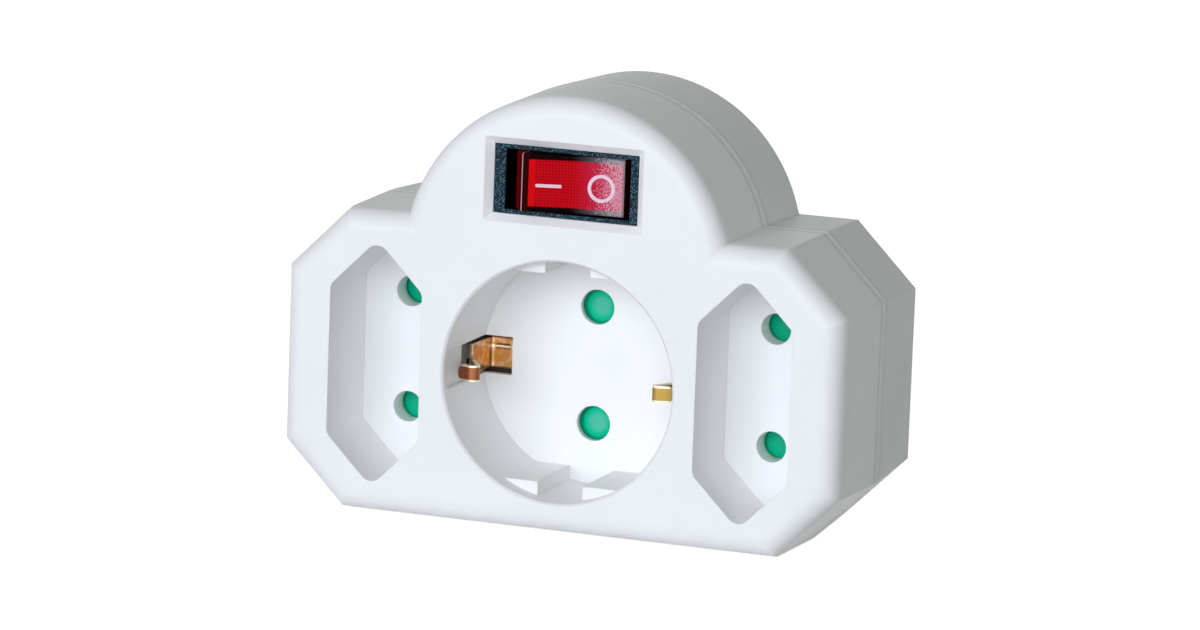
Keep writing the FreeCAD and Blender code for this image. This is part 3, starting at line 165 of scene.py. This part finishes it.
class Tree:
    """Short calls that add nodes to one shader tree and link them."""

    def __init__(self, tree):
        self.tree = tree

    def add(self, kind, **settings):
        """A new node with these settings."""
        node = self.tree.nodes.new(kind)
        for key, value in settings.items():
            setattr(node, key, value)
        return node

    def feed(self, socket, value):
        """Links a socket to another node's output, or sets its number or its colour (a tuple). None leaves
        it as it is."""
        if isinstance(value, bpy.types.NodeSocket):
            self.tree.links.new(value, socket)
        elif isinstance(value, tuple):
            socket.default_value = (*value, 1.0)
        elif value is not None:
            socket.default_value = value

    def math(self, operation, first, second=None, clamp=False):
        """One operation on one or two values."""
        node = self.add("ShaderNodeMath", operation=operation, use_clamp=clamp)
        self.feed(node.inputs[0], first)
        self.feed(node.inputs[1], second)
        return node.outputs[0]

    def apart(self, value, other):
        """How far a value is from another, without its sign."""
        return self.math("ABSOLUTE", self.math("SUBTRACT", value, other))

    def rise(self, value, bounds, below=0.0, above=1.0):
        """A smooth step from one number below the bounds to another above them."""
        node = self.add("ShaderNodeMapRange", interpolation_type="SMOOTHSTEP")
        for socket, number in zip(node.inputs[:5], (value, *bounds, below, above)):
            self.feed(socket, number)
        return node.outputs[0]

    def fall(self, value, bounds, below=1.0, above=0.0):
        """A smooth step down, from 1 to 0 if nothing else is said."""
        return self.rise(value, bounds, below, above)

    def noise(self, vector, scale, detail=2.0, roughness=0.5):
        """Noise about NOISE_MIDDLE, with the scale as its fineness per unit of the vector."""
        node = self.add("ShaderNodeTexNoise")
        self.feed(node.inputs["Vector"], vector)
        self.feed(node.inputs["Scale"], scale)
        self.feed(node.inputs["Detail"], detail)
        self.feed(node.inputs["Roughness"], roughness)
        return node.outputs[0]

    def blend(self, factor, first, second):
        """The first colour at factor 0 and the second at factor 1."""
        node = self.add("ShaderNodeMix", data_type="RGBA")
        self.feed(node.inputs[0], factor)
        self.feed(node.inputs[6], first)
        self.feed(node.inputs[7], second)
        return node.outputs[2]

    def bump(self, height, strength, distance, normal):
        """The normal, tilted by a height."""
        node = self.add("ShaderNodeBump")
        self.feed(node.inputs["Strength"], strength)
        self.feed(node.inputs["Distance"], distance)
        self.feed(node.inputs["Height"], height)
        self.feed(node.inputs["Normal"], normal)
        return node.outputs[0]

    def place(self):
        """Object coordinates in millimetres."""
        node = self.add("ShaderNodeVectorMath", operation="SCALE")
        self.feed(node.inputs[0], self.add("ShaderNodeTexCoord").outputs["Object"])
        self.feed(node.inputs["Scale"], 1 / MM)
        return node.outputs[0]

    def split(self, vector):
        """The three parts of a vector: along, in depth and up."""
        node = self.add("ShaderNodeSeparateXYZ")
        self.feed(node.inputs[0], vector)
        return node.outputs


def new_group(name, inputs, outputs):
    """A shader node group with these sockets: (tree, its inputs by name, its output node)."""
    group = bpy.data.node_groups.new(name, "ShaderNodeTree")
    kinds = {"value": "NodeSocketFloat", "vector": "NodeSocketVector"}
    for in_out, sockets in (("INPUT", inputs), ("OUTPUT", outputs)):
        for socket, kind in sockets.items():
            group.interface.new_socket(socket, in_out=in_out, socket_type=kinds[kind])
    tree = Tree(group)
    entry = tree.add("NodeGroupInput")
    leave = tree.add("NodeGroupOutput")
    return tree, {socket: entry.outputs[socket] for socket in inputs}, leave


# Moulded grain: the fine grain's share of the relief and the broad one's, the broad one's fineness, and
# the relief's full height
FINE_SHARE = 0.8
BROAD_SHARE = 0.2
BROAD_FINENESS = 0.09
GRAIN_RELIEF = 0.02


def grain_group():
    """Fine grain over a broad unevenness: a bumped normal, and the unevenness about 0 for the roughness."""
    tree, given, leave = new_group(
        "moulded_grain",
        {"Place": "vector", "Fineness": "value", "Depth": "value", "Normal": "vector"},
        {"Normal": "vector", "Unevenness": "value"},
    )
    fine = tree.noise(given["Place"], given["Fineness"], detail=3.0, roughness=0.6)
    broad = tree.noise(given["Place"], BROAD_FINENESS)
    height = tree.math("ADD", tree.math("MULTIPLY", fine, FINE_SHARE),
                       tree.math("MULTIPLY", broad, BROAD_SHARE))
    bumped = tree.bump(height, given["Depth"], GRAIN_RELIEF * MM, given["Normal"])
    tree.feed(leave.inputs["Normal"], bumped)
    tree.feed(leave.inputs["Unevenness"], tree.math("SUBTRACT", broad, NOISE_MIDDLE))
    return tree.tree


# Worn edges and painted edge highlights: how far the rounded normal leaves the flat one, as 1 minus their
# cosine, and where the noise that breaks the wear and the highlights up lets them show
EDGE_BOUNDS = (0.02, 0.25)
BREAK_FINENESS = 0.8
BREAK_BOUNDS = (0.42, 0.62)


def wear_and_highlight_group():
    """Edges: a normal that rounds sharp edges, and a mask along them for wear and painted highlights.
    Evenness fills the mask's breaks.
    """
    tree, given, leave = new_group(
        "worn_and_highlit_edges",
        {"Place": "vector", "Radius": "value", "Evenness": "value"},
        {"Normal": "vector", "Mask": "value"},
    )
    bevel = tree.add("ShaderNodeBevel", samples=4)
    tree.feed(bevel.inputs["Radius"], given["Radius"])
    facing = tree.add("ShaderNodeVectorMath", operation="DOT_PRODUCT")
    tree.feed(facing.inputs[0], bevel.outputs[0])
    tree.feed(facing.inputs[1], tree.add("ShaderNodeNewGeometry").outputs["Normal"])
    edge = tree.rise(tree.math("SUBTRACT", 1.0, facing.outputs["Value"]), EDGE_BOUNDS)
    broken = tree.rise(tree.noise(given["Place"], BREAK_FINENESS, detail=3.0, roughness=0.7), BREAK_BOUNDS)
    broken = tree.math("MAXIMUM", broken, given["Evenness"])
    tree.feed(leave.inputs["Normal"], bevel.outputs[0])
    tree.feed(leave.inputs["Mask"], tree.math("MULTIPLY", edge, broken))
    return tree.tree


# Speckle: the noise from which grains show when the share is 0, how far a share of 1 lowers that, and a
# grain's soft edge
RARE_GRAINS = 0.78
SHARE_DROP = 0.5
GRAIN_EDGE = 0.12


def speckle_group():
    """Small bright grains on a darker ground: a mask, with more grains the larger the share."""
    tree, given, leave = new_group(
        "speckle",
        {"Place": "vector", "Fineness": "value", "Share": "value"},
        {"Mask": "value"},
    )
    value = tree.noise(given["Place"], given["Fineness"], detail=1.0)
    low = tree.math("SUBTRACT", RARE_GRAINS, tree.math("MULTIPLY", given["Share"], SHARE_DROP))
    high = tree.math("ADD", low, GRAIN_EDGE)
    tree.feed(leave.inputs["Mask"], tree.rise(value, (low, high)))
    return tree.tree


# Drift: where broad noise passes from the first colour to the second
DRIFT_BOUNDS = (0.35, 0.65)


def drift_group():
    """A slow drift from one colour to another: a mask of broad noise."""
    tree, given, leave = new_group(
        "slow_drift",
        {"Place": "vector", "Fineness": "value"},
        {"Mask": "value"},
    )
    cloud = tree.noise(given["Place"], given["Fineness"], detail=3.0, roughness=0.55)
    tree.feed(leave.inputs["Mask"], tree.rise(cloud, DRIFT_BOUNDS))
    return tree.tree


GROUPS = {
    "grain": grain_group(),
    "wear": wear_and_highlight_group(),
    "speckle": speckle_group(),
    "drift": drift_group(),
}


def use_group(tree, name, **inputs):
    """The outputs of one of the groups, given these inputs."""
    node = tree.add("ShaderNodeGroup", node_tree=GROUPS[name])
    for socket, value in inputs.items():
        tree.feed(node.inputs[socket], value)
    return node.outputs


# Materials

SLOW_DRIFT = 0.05
# The colour of the brass's painted highlights, on its edges, its beads and round its lips
BRASS_GLEAM = (1.0, 0.93, 0.74)

# Each look holds the radius that its edges are rounded to, how strong and how even the wear and the painted
# highlight along them are, and their colour; the fineness and the depth of its grain; its roughness and how
# much that varies. On the white shell and the brass that edge colour is a painted highlight. Most have two
# colours that they drift between, and the fineness of that drift where it isn't the slow one. The shader's
# metal, specular and clear weights are there where they aren't the usual ones
LOOKS = {
    # The white shell's pale edge colour is a painted highlight along its rims
    "white_shell": dict(colours=((0.94, 0.938, 0.935), (0.925, 0.926, 0.923)), edge=0.22, wear=0.9,
                        even=0.6, worn=(0.99, 0.99, 0.99), fineness=6.0, depth=0.12, rough=0.42,
                        uneven=0.15, specular=0.3),
    "green_shutter": dict(colours=((0.0, 0.54, 0.29), (0.0, 0.49, 0.255)), edge=0.12, wear=0.2,
                          worn=(0.2, 0.6, 0.45), fineness=5.0, depth=0.15, rough=0.32, uneven=0.15,
                          specular=0.06),
    # The brass's edge colour, BRASS_GLEAM, is a painted highlight
    "brass": dict(colours=((0.60, 0.31, 0.11), (0.52, 0.33, 0.09)), drift=0.4, edge=0.4, wear=1.0,
                  even=0.9, worn=BRASS_GLEAM, fineness=3.0, depth=0.2, rough=0.34, uneven=0.3, metal=1.0),
    "black_switch": dict(edge=0.1, wear=0.2, worn=(0.12, 0.15, 0.18), fineness=3.2, depth=0.9, rough=0.4,
                         uneven=0.2, specular=0.03),
    "red_rocker": dict(edge=0.12, wear=0.1, worn=(0.8, 0.3, 0.33), fineness=4.0, depth=0.25, rough=0.3,
                       uneven=0.1, specular=0.015),
    "mark_paint": dict(colours=((0.87, 0.62, 0.72), (0.85, 0.58, 0.68)), drift=0.4, edge=0.03, wear=0.2,
                       worn=(0.9, 0.7, 0.75), fineness=8.0, depth=0.15, rough=0.4, uneven=0.1),
    "clear_glass": dict(colours=((0.95, 0.85, 0.75), (0.95, 0.8, 0.7)), drift=0.5, edge=0.05, wear=0.0,
                        worn=WHITE, fineness=2.0, depth=0.05, rough=0.05, uneven=0.05, clear=0.9),
    "dark_carrier": dict(colours=((0.13, 0.085, 0.06), (0.10, 0.065, 0.045)), edge=0.15, wear=0.3,
                         worn=(0.2, 0.15, 0.11), fineness=5.0, depth=0.3, rough=0.55, uneven=0.2),
    "plated_pin": dict(colours=((0.6, 0.59, 0.57), (0.55, 0.54, 0.53)), edge=0.1, wear=0.3,
                       worn=(0.7, 0.55, 0.35), fineness=3.0, depth=0.15, rough=0.22, uneven=0.2,
                       metal=1.0),
    "steel": dict(colours=((0.45, 0.45, 0.46), (0.38, 0.38, 0.39)), edge=0.08, wear=0.4,
                  worn=(0.65, 0.65, 0.66), fineness=4.0, depth=0.25, rough=0.32, uneven=0.25, metal=1.0),
    "resistor_body": dict(colours=((0.5, 0.38, 0.22), (0.45, 0.34, 0.2)), edge=0.08, wear=0.1,
                          worn=(0.6, 0.5, 0.35), fineness=6.0, depth=0.2, rough=0.4, uneven=0.1),
    "brown_insulation": dict(colours=((0.12, 0.045, 0.02), (0.1, 0.038, 0.017)), edge=0.05, wear=0.1,
                             worn=(0.2, 0.1, 0.06), fineness=4.0, depth=0.2, rough=0.4, uneven=0.15),
    "blue_insulation": dict(colours=((0.02, 0.08, 0.34), (0.018, 0.07, 0.3)), edge=0.05, wear=0.1,
                            worn=(0.1, 0.2, 0.5), fineness=4.0, depth=0.2, rough=0.4, uneven=0.15),
}


def plain_paint(tree, place, look):
    """A colour that drifts towards a second one."""
    drift = use_group(tree, "drift", Place=place, Fineness=look.get("drift", SLOW_DRIFT))["Mask"]
    return tree.blend(drift, *look["colours"])


# Shell: where the rear's tone sets in, and the shade lines beside the parting line, by their distance
# from it, their soft edge and their strength
REAR_BOUNDS = (PARTING_PLACE - 0.2, PARTING_PLACE + 0.6)
REAR_WHITE = (0.76, 0.79, 0.77)
SHADE_OFFSET = 1.35
SHADE_BOUNDS = (0.2, 0.65)
SHADE_STRENGTH = 0.75
SHADE_GREY = (0.68, 0.70, 0.695)


def shell_paint(tree, place, look):
    """White plastic, a little greyer behind the parting line, with a faint shade along both sides of it."""
    depth = tree.split(place)[1]
    behind = tree.rise(depth, REAR_BOUNDS)
    colour = tree.blend(behind, plain_paint(tree, place, look), REAR_WHITE)
    beside_line = tree.apart(tree.apart(depth, PARTING_PLACE), SHADE_OFFSET)
    shade = tree.fall(beside_line, SHADE_BOUNDS, below=SHADE_STRENGTH)
    return tree.blend(shade, colour, SHADE_GREY)


# Shutters: the painted light in each pin hole, a pale patch a little to the right of its middle and fainter
# in the two flat sockets, and the painted shadow round the hole
PATCH_SHIFT = 0.25
PATCH_BOUNDS = (0.9, 2.1)
PAINTED_LIGHT_GREEN = (0.085, 0.53, 0.37)
FLAT_SOCKET_BOUNDS = (8.0, 12.0)
FLAT_SOCKET_SHARE = 0.15
RIM_BOUNDS = (2.2, 2.7)
PAINTED_SHADOW_GREEN = (0.0, 0.30, 0.16)


def shutter_paint(tree, place, look):
    """Green plastic behind the pin holes, with painted light in a soft pale patch at the middle of each
    hole and a painted shadow round it.
    """
    along, _, height = tree.split(place)
    across = tree.math("PINGPONG", tree.math("SUBTRACT", along, PATCH_SHIFT), SOCKET_PITCH / 2)
    upward = tree.math("SUBTRACT", tree.math("ABSOLUTE", height), PIN_OFFSET)
    square = tree.math("ADD", tree.math("MULTIPLY", across, across), tree.math("MULTIPLY", upward, upward))
    distance = tree.math("SQRT", square)
    lit = tree.fall(tree.math("ABSOLUTE", along), FLAT_SOCKET_BOUNDS, above=FLAT_SOCKET_SHARE)
    # Painted light, fainter in the two flat sockets
    painted_light = tree.math("MULTIPLY", tree.fall(distance, PATCH_BOUNDS), lit)
    colour = tree.blend(painted_light, plain_paint(tree, place, look), PAINTED_LIGHT_GREEN)
    # Painted shadow round each hole
    return tree.blend(tree.rise(distance, RIM_BOUNDS), colour, PAINTED_SHADOW_GREEN)


# Brass: the pinkish patches, the painted shade that darkens the lips at the front, and the painted
# highlights
PINK_FINENESS = 0.7
PINK_BOUNDS = (0.46, 0.6)
PINK_STRENGTH = 0.8
PINK_BRASS = (0.80, 0.52, 0.36)
LIP_BOUNDS = (LIP_DEPTH - 1.5, LIP_DEPTH)
SIDES_BOUNDS = (-1.0, 1.0)
# The lips' colours are painted shade, copper at the left and yellower at the right
LEFT_LIP_SHADE = (0.30, 0.11, 0.045)
RIGHT_LIP_SHADE = (0.36, 0.24, 0.06)
BEAD_BOUNDS = (0.16, 0.26)
SHELF_BOUNDS = (SHELF_DEPTH - 0.9, SHELF_DEPTH - 0.7)
INNER_BEND_BOUNDS = (13.9, 14.4)
TONGUE_BOUNDS = (0.95, 1.1)


def brass_paint(tree, place, look):
    """Brass with copper, yellow and pinkish patches, and painted shade that darkens the lips near the
    front.
    Painted highlights run along the bead on each clip's shelf and round each lip."""
    along, depth, height = tree.split(place)
    pink = tree.rise(tree.noise(place, PINK_FINENESS), PINK_BOUNDS, above=PINK_STRENGTH)
    colour = tree.blend(pink, plain_paint(tree, place, look), PINK_BRASS)
    # Painted shade darkens the lips near the front
    lip = tree.fall(depth, LIP_BOUNDS)
    colour = tree.blend(lip, colour, tree.blend(tree.rise(along, SIDES_BOUNDS), LEFT_LIP_SHADE, RIGHT_LIP_SHADE))
    # Painted highlights along each shelf's bead and round each lip
    bead_highlight = tree.math("MULTIPLY", tree.fall(tree.apart(height, BEAD_HEIGHT), BEAD_BOUNDS),
                        tree.rise(depth, SHELF_BOUNDS))
    inner_bend = tree.fall(tree.math("ABSOLUTE", along), INNER_BEND_BOUNDS)
    tongue_sides = tree.rise(tree.apart(height, TONGUE_HEIGHT), TONGUE_BOUNDS)
    lip_outline_highlight = tree.math("MULTIPLY", lip, tree.math("MAXIMUM", inner_bend, tongue_sides))
    return tree.blend(tree.math("MAXIMUM", bead_highlight, lip_outline_highlight), colour, BRASS_GLEAM)


# Switch: the grains on the front of its bezel, and where that front ends
BEZEL_GRAINS = dict(Fineness=3.4, Share=0.55)
BEZEL_BOUNDS = (BEZEL_FRONT + 0.1, BEZEL_FRONT + 0.4)
BEZEL_DARK = (0.010, 0.022, 0.032)
BEZEL_PALE = (0.075, 0.15, 0.20)
WELL_BLACK = (0.002, 0.002, 0.0025)


def switch_paint(tree, place, look):
    """Black plastic. The front of the bezel has a coarse blue-grey grain that catches the light."""
    grains = use_group(tree, "speckle", Place=place, **BEZEL_GRAINS)["Mask"]
    front = tree.fall(tree.split(place)[1], BEZEL_BOUNDS)
    return tree.blend(front, WELL_BLACK, tree.blend(grains, BEZEL_DARK, BEZEL_PALE))


# Rocker: the speckle that grows along X over its pressed half, the weave of two waves over its raised half,
# and the smooth band at the left of that
SPECKLE_BOUNDS = (0.6, 8.6)
SPECKLE_FINENESS = 4.2
SPECKLE_FULL = 0.85
SPECKLE_COLOURS = ((0.56, 0.03, 0.10), (0.76, 0.32, 0.40))
WEAVE_FINENESS = 13.0
WEAVE_BOUNDS = (-1.6, 1.6)
WEAVE_COLOURS = ((0.44, 0.002, 0.008), (0.67, 0.004, 0.010))
BAND_BOUNDS = (-4.75, -4.55)
BAND_RED = (0.76, 0.003, 0.006)

# The frame round the rocker's field: where it starts, by the distance from the middle height and then along
# X, and where it turns from black to grey
TOP_BOTTOM_BOUNDS = (3.6, 3.85)
RAGGED_FINENESS = 4.0
GREYING_BOUNDS = (0.5, 7.0)
FRAME_BLACK = (0.004, 0.0005, 0.001)
FRAME_GREYS = ((0.16, 0.12, 0.13), (0.42, 0.38, 0.39))
LEFT_SIDE_BOUNDS = (-5.7, -5.55)
LEFT_SIDE_RED = (0.03, 0.0005, 0.001)
RIGHT_SIDE_BOUNDS = (9.0, 9.2)
RIGHT_SIDE_GREY = (0.30, 0.22, 0.23)

# The rocker's two ends, and the painted highlight down its raised edge with its half width and strength
RIGHT_END_BOUNDS = (9.35, 9.5)
RIGHT_END_RED = (0.03, 0.001, 0.003)
LEFT_END_BOUNDS = (-7.2, -7.0)
LEFT_END_RED = (0.17, 0.001, 0.003)
EDGE_LINE = -6.6
EDGE_LINE_BOUNDS = (0.05, 0.1)
EDGE_LINE_STRENGTH = 0.9
EDGE_HIGHLIGHT_PINK = (0.62, 0.35, 0.38)


def rocker_paint(tree, place, look):
    """Translucent red plastic: a deep red weave over the raised half and a pink speckle over the pressed
    half, in a frame that is black at the left and fades to grey at the right."""
    along, _, height = tree.split(place)
    # The speckle and its pink ground grow from the middle towards the right end
    fade = tree.rise(along, SPECKLE_BOUNDS)
    grains = use_group(tree, "speckle", Place=place, Fineness=SPECKLE_FINENESS,
                       Share=tree.math("MULTIPLY", fade, SPECKLE_FULL))["Mask"]
    waves = [tree.math("SINE", tree.math("MULTIPLY", side, WEAVE_FINENESS)) for side in (along, height)]
    deep = tree.blend(tree.rise(tree.math("ADD", *waves), WEAVE_BOUNDS), *WEAVE_COLOURS)
    deep = tree.blend(tree.fall(along, BAND_BOUNDS), deep, BAND_RED)
    colour = tree.blend(fade, deep, tree.blend(grains, *SPECKLE_COLOURS))
    # The frame above and below the field, ragged where the speckle reaches it
    ragged = tree.math("SUBTRACT", tree.noise(place, RAGGED_FINENESS, roughness=0.6), NOISE_MIDDLE)
    ragged = tree.math("MULTIPLY", ragged, fade)
    from_middle = tree.math("ADD", tree.apart(height, ROCKER_HEIGHT), ragged)
    frame_colour = tree.blend(tree.rise(along, GREYING_BOUNDS), FRAME_BLACK,
                              tree.blend(grains, *FRAME_GREYS))
    colour = tree.blend(tree.rise(from_middle, TOP_BOTTOM_BOUNDS), colour, frame_colour)
    # The frame's two sides, and the dark right end beyond it
    colour = tree.blend(tree.fall(along, LEFT_SIDE_BOUNDS), colour, LEFT_SIDE_RED)
    colour = tree.blend(tree.rise(along, RIGHT_SIDE_BOUNDS), colour, RIGHT_SIDE_GREY)
    colour = tree.blend(tree.rise(along, RIGHT_END_BOUNDS), colour, RIGHT_END_RED)
    # A painted highlight down the raised edge, and a deep red left end behind it
    edge_highlight = tree.fall(tree.apart(along, EDGE_LINE), EDGE_LINE_BOUNDS, below=EDGE_LINE_STRENGTH)
    colour = tree.blend(edge_highlight, colour, EDGE_HIGHLIGHT_PINK)
    return tree.blend(tree.fall(along, LEFT_END_BOUNDS), colour, LEFT_END_RED)


# The paints of the looks that have a pattern. The others have the plain paint
PAINTS = {
    "white_shell": shell_paint,
    "green_shutter": shutter_paint,
    "brass": brass_paint,
    "black_switch": switch_paint,
    "red_rocker": rocker_paint,
}


def new_material(name):
    """An empty material: (material, its tree, its main shader)."""
    material = bpy.data.materials.new(name)
    material.use_nodes = True
    material.node_tree.nodes.clear()
    tree = Tree(material.node_tree)
    shader = tree.add("ShaderNodeBsdfPrincipled")
    output = tree.add("ShaderNodeOutputMaterial")
    tree.feed(output.inputs["Surface"], shader.outputs[0])
    return material, tree, shader


def finish_surface(tree, shader, place, look, colour):
    """Grain, uneven roughness, and wear and painted highlights along the edges, on top of a colour."""
    edges = use_group(tree, "wear", Place=place, Radius=look["edge"] * MM, Evenness=look.get("even", 0.0))
    grain = use_group(tree, "grain", Place=place, Fineness=look["fineness"], Depth=look["depth"],
                      Normal=edges["Normal"])
    # The edge mask lays wear and, on the white shell and the brass, a painted highlight over the colour
    worn = tree.math("MULTIPLY", edges["Mask"], look["wear"])
    tree.feed(shader.inputs["Base Color"], tree.blend(worn, colour, look["worn"]))
    rough = tree.math("MULTIPLY", grain["Unevenness"], look["uneven"])
    tree.feed(shader.inputs["Roughness"], tree.math("ADD", rough, look["rough"], clamp=True))
    tree.feed(shader.inputs["Normal"], grain["Normal"])


def make_material(name):
    """The material of a look, with its pattern where it has one."""
    look = LOOKS[name]
    material, tree, shader = new_material(name)
    place = tree.place()
    paint = PAINTS.get(name, plain_paint)
    finish_surface(tree, shader, place, look, paint(tree, place, look))
    weights = {"Metallic": "metal", "Specular IOR Level": "specular", "Transmission Weight": "clear"}
    for socket, key in weights.items():
        tree.feed(shader.inputs[socket], look.get(key))
    return material


def give_materials(materials):
    """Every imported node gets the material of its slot."""
    for part in frame["record"]["subparts"]:
        node = frame["nodes"][part["node"]]
        for slot in node.material_slots:
            slot.material = materials[part["material_slot"]]


# Marks on the rocker


def add_object(name, data):
    """A new object in the scene."""
    item = bpy.data.objects.new(name, data)
    bpy.context.scene.collection.objects.link(item)
    return item


def add_surface(name, points, closed):
    """A surface through a grid of points whose rows are rings. The rows close into a ring of their own
    too, or else the first and the last one are capped."""
    index = np.arange(points.shape[0] * points.shape[1]).reshape(points.shape[:2])
    beside = np.roll(index, -1, axis=1)
    corners = [index, np.roll(index, -1, axis=0), np.roll(beside, -1, axis=0), beside]
    rows = len(index) if closed else len(index) - 1
    faces = np.stack(corners, axis=-1)[:rows].reshape(-1, 4).tolist()
    if not closed:
        faces += [index[0].tolist(), index[-1][::-1].tolist()]
    mesh = bpy.data.meshes.new(name)
    mesh.from_pydata(points.reshape(-1, 3).tolist(), [], faces)
    mesh.update()
    turn_outwards(mesh)
    return add_object(name, mesh)


def turn_outwards(mesh):
    """Turns every face of a closed mesh outwards."""
    work = bmesh.new()
    work.from_mesh(mesh)
    bmesh.ops.recalc_face_normals(work, faces=work.faces)
    work.to_mesh(mesh)
    work.free()


def on_face(face, x, z, height):
    """Points in metres: a rocker face's middle, plus x times the direction along the face, z times up and
    height times the face's normal."""
    centre, out = face
    up = np.array([0.0, 0.0, 1.0])
    along = np.cross(up, out)
    x, z, height = (grid[..., None] for grid in np.broadcast_arrays(x, z, height))
    return (centre + x * along + z * up + height * out) * MM


def bar_mark(name, face):
    """The bar. Its outline is a rectangle with round corners: half the length times the cosine of one turn
    and half the width times its sine, each raised to a small power and with its sign kept. The outline
    rises out of the face in layers, and the last two draw it in, first by a bevel and then further."""
    turn = np.linspace(0, 2 * np.pi, BAR_STEPS, endpoint=False)
    half_length, half_width = BAR_LENGTH / 2, BAR_WIDTH / 2
    outline_x = np.sign(np.cos(turn)) * np.abs(np.cos(turn)) ** BAR_POWER * half_length
    outline_z = np.sign(np.sin(turn)) * np.abs(np.sin(turn)) ** BAR_POWER * half_width
    height = np.array([-MARK_DEPTH, MARK_SHOULDER, MARK_PROUD, MARK_PROUD])[:, None]
    inset = np.array([0.0, 0.0, MARK_BEVEL, BAR_TOP_INSET])[:, None]
    x = outline_x * (1 - inset / half_length) + BAR_SHIFT[0]
    z = outline_z * (1 - inset / half_width) + BAR_SHIFT[1]
    return add_surface(name, on_face(face, x, z, height), closed=False)


def ring_mark(name, face):
    """The ring. A flat section with bevelled upper edges is carried round a circle: x is the radius plus
    the section's offset, times the cosine of one turn, and z is the same times its sine."""
    turn = np.linspace(0, 2 * np.pi, RING_STEPS, endpoint=False)[:, None]
    half = RING_WIDTH / 2
    offset = np.array([-half, half, half, half - MARK_BEVEL, -half + MARK_BEVEL, -half])
    height = np.array([-MARK_DEPTH, -MARK_DEPTH, MARK_SHOULDER, MARK_PROUD, MARK_PROUD, MARK_SHOULDER])
    x = np.cos(turn) * (RING_RADIUS + offset) + RING_SHIFT[0]
    z = np.sin(turn) * (RING_RADIUS + offset) + RING_SHIFT[1]
    return add_surface(name, on_face(face, x, z, height), closed=True)


def add_marks(paint):
    """The bar on the raised face and the ring on the pressed one. They move with the rocker."""
    marks = [bar_mark("rocker_on_mark", LEFT_FACE), ring_mark("rocker_off_mark", RIGHT_FACE)]
    for mark in marks:
        mark.data.materials.append(paint)
        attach(mark, "rocker")


# Studio


def seen_directly(tree):
    """1 where the camera, a reflection or a refraction looks, 0 for light that bounces."""
    path = tree.add("ShaderNodeLightPath").outputs
    seen = tree.math("MAXIMUM", path["Is Camera Ray"], path["Is Glossy Ray"])
    return tree.math("MAXIMUM", seen, path["Is Transmission Ray"])


def add_floor():
    """A pale floor just under the adapter, so wide that its edge is far away. It glows where it is looked
    at, to melt into the white background, and sends back less light than that."""
    x, y = np.meshgrid([-FLOOR_REACH, FLOOR_REACH], [-FLOOR_REACH, FLOOR_REACH])
    z = np.full_like(x, CAD_BOX[0][2] - FLOOR_GAP)
    mesh = bpy.data.meshes.new("floor")
    mesh.from_pydata(np.stack([x, y, z], axis=-1).reshape(-1, 3).tolist(), [], [(0, 1, 3, 2)])
    floor = add_object("floor", mesh)
    material, tree, shader = new_material("floor_white")
    drift = tree.noise(tree.place(), FLOOR_DRIFT)
    seen = seen_directly(tree)
    pale = tree.blend(drift, *FLOOR_WHITES)
    tree.feed(shader.inputs["Base Color"], tree.blend(seen, FLOOR_BOUNCE, pale))
    rough = tree.math("ADD", tree.math("MULTIPLY", drift, FLOOR_UNEVEN), FLOOR_ROUGH)
    tree.feed(shader.inputs["Roughness"], rough)
    tree.feed(shader.inputs["Specular IOR Level"], FLOOR_SPECULAR)
    tree.feed(shader.inputs["Emission Color"], WHITE)
    tree.feed(shader.inputs["Emission Strength"], tree.math("MULTIPLY", seen, FLOOR_GLOW))
    mesh.materials.append(material)


def add_light(name, place, size, power, colour, reflected=True):
    """A rectangular light that faces the adapter."""
    data = bpy.data.lights.new(name, "AREA")
    data.shape = "RECTANGLE"
    data.size, data.size_y = size
    data.energy = power
    data.color = colour
    light = add_object(name, data)
    light.location = place
    light.rotation_euler = (Vector(LIGHT_TARGET) - Vector(place)).to_track_quat("-Z", "Y").to_euler()
    light.visible_glossy = reflected


def set_background():
    """White where the camera, a reflection or a refraction looks at it, and a soft grey fill light."""
    world = bpy.data.worlds.new("studio")
    bpy.context.scene.world = world
    world.use_nodes = True
    world.node_tree.nodes.clear()
    tree = Tree(world.node_tree)
    back = tree.add("ShaderNodeBackground")
    tree.feed(back.inputs["Color"], tree.blend(seen_directly(tree), FILL_LIGHT, WHITE))
    output = tree.add("ShaderNodeOutputWorld")
    tree.feed(output.inputs["Surface"], back.outputs[0])


def add_camera():
    """The camera that was fitted to the photo."""
    right = Vector(CAMERA_RIGHT).normalized()
    ahead = Vector(CAMERA_AHEAD).normalized()
    turn = Matrix((right, right.cross(ahead), -ahead)).transposed()
    data = bpy.data.cameras.new("camera")
    data.lens = CAMERA_LENS_MM
    data.sensor_width = SENSOR_MM
    data.clip_start = CLIP_START
    data.clip_end = CLIP_END
    camera = add_object("camera", data)
    camera.matrix_world = Matrix.Translation(CAMERA_PLACE) @ turn.to_4x4()
    bpy.context.scene.camera = camera


MATERIALS = {name: make_material(name) for name in LOOKS}
give_materials(MATERIALS)
add_marks(MATERIALS["mark_paint"])
add_floor()
for name, settings in LIGHTS.items():
    add_light(name, **settings)
set_background()
add_camera()
bpy.context.scene.view_settings.view_transform = "Standard"
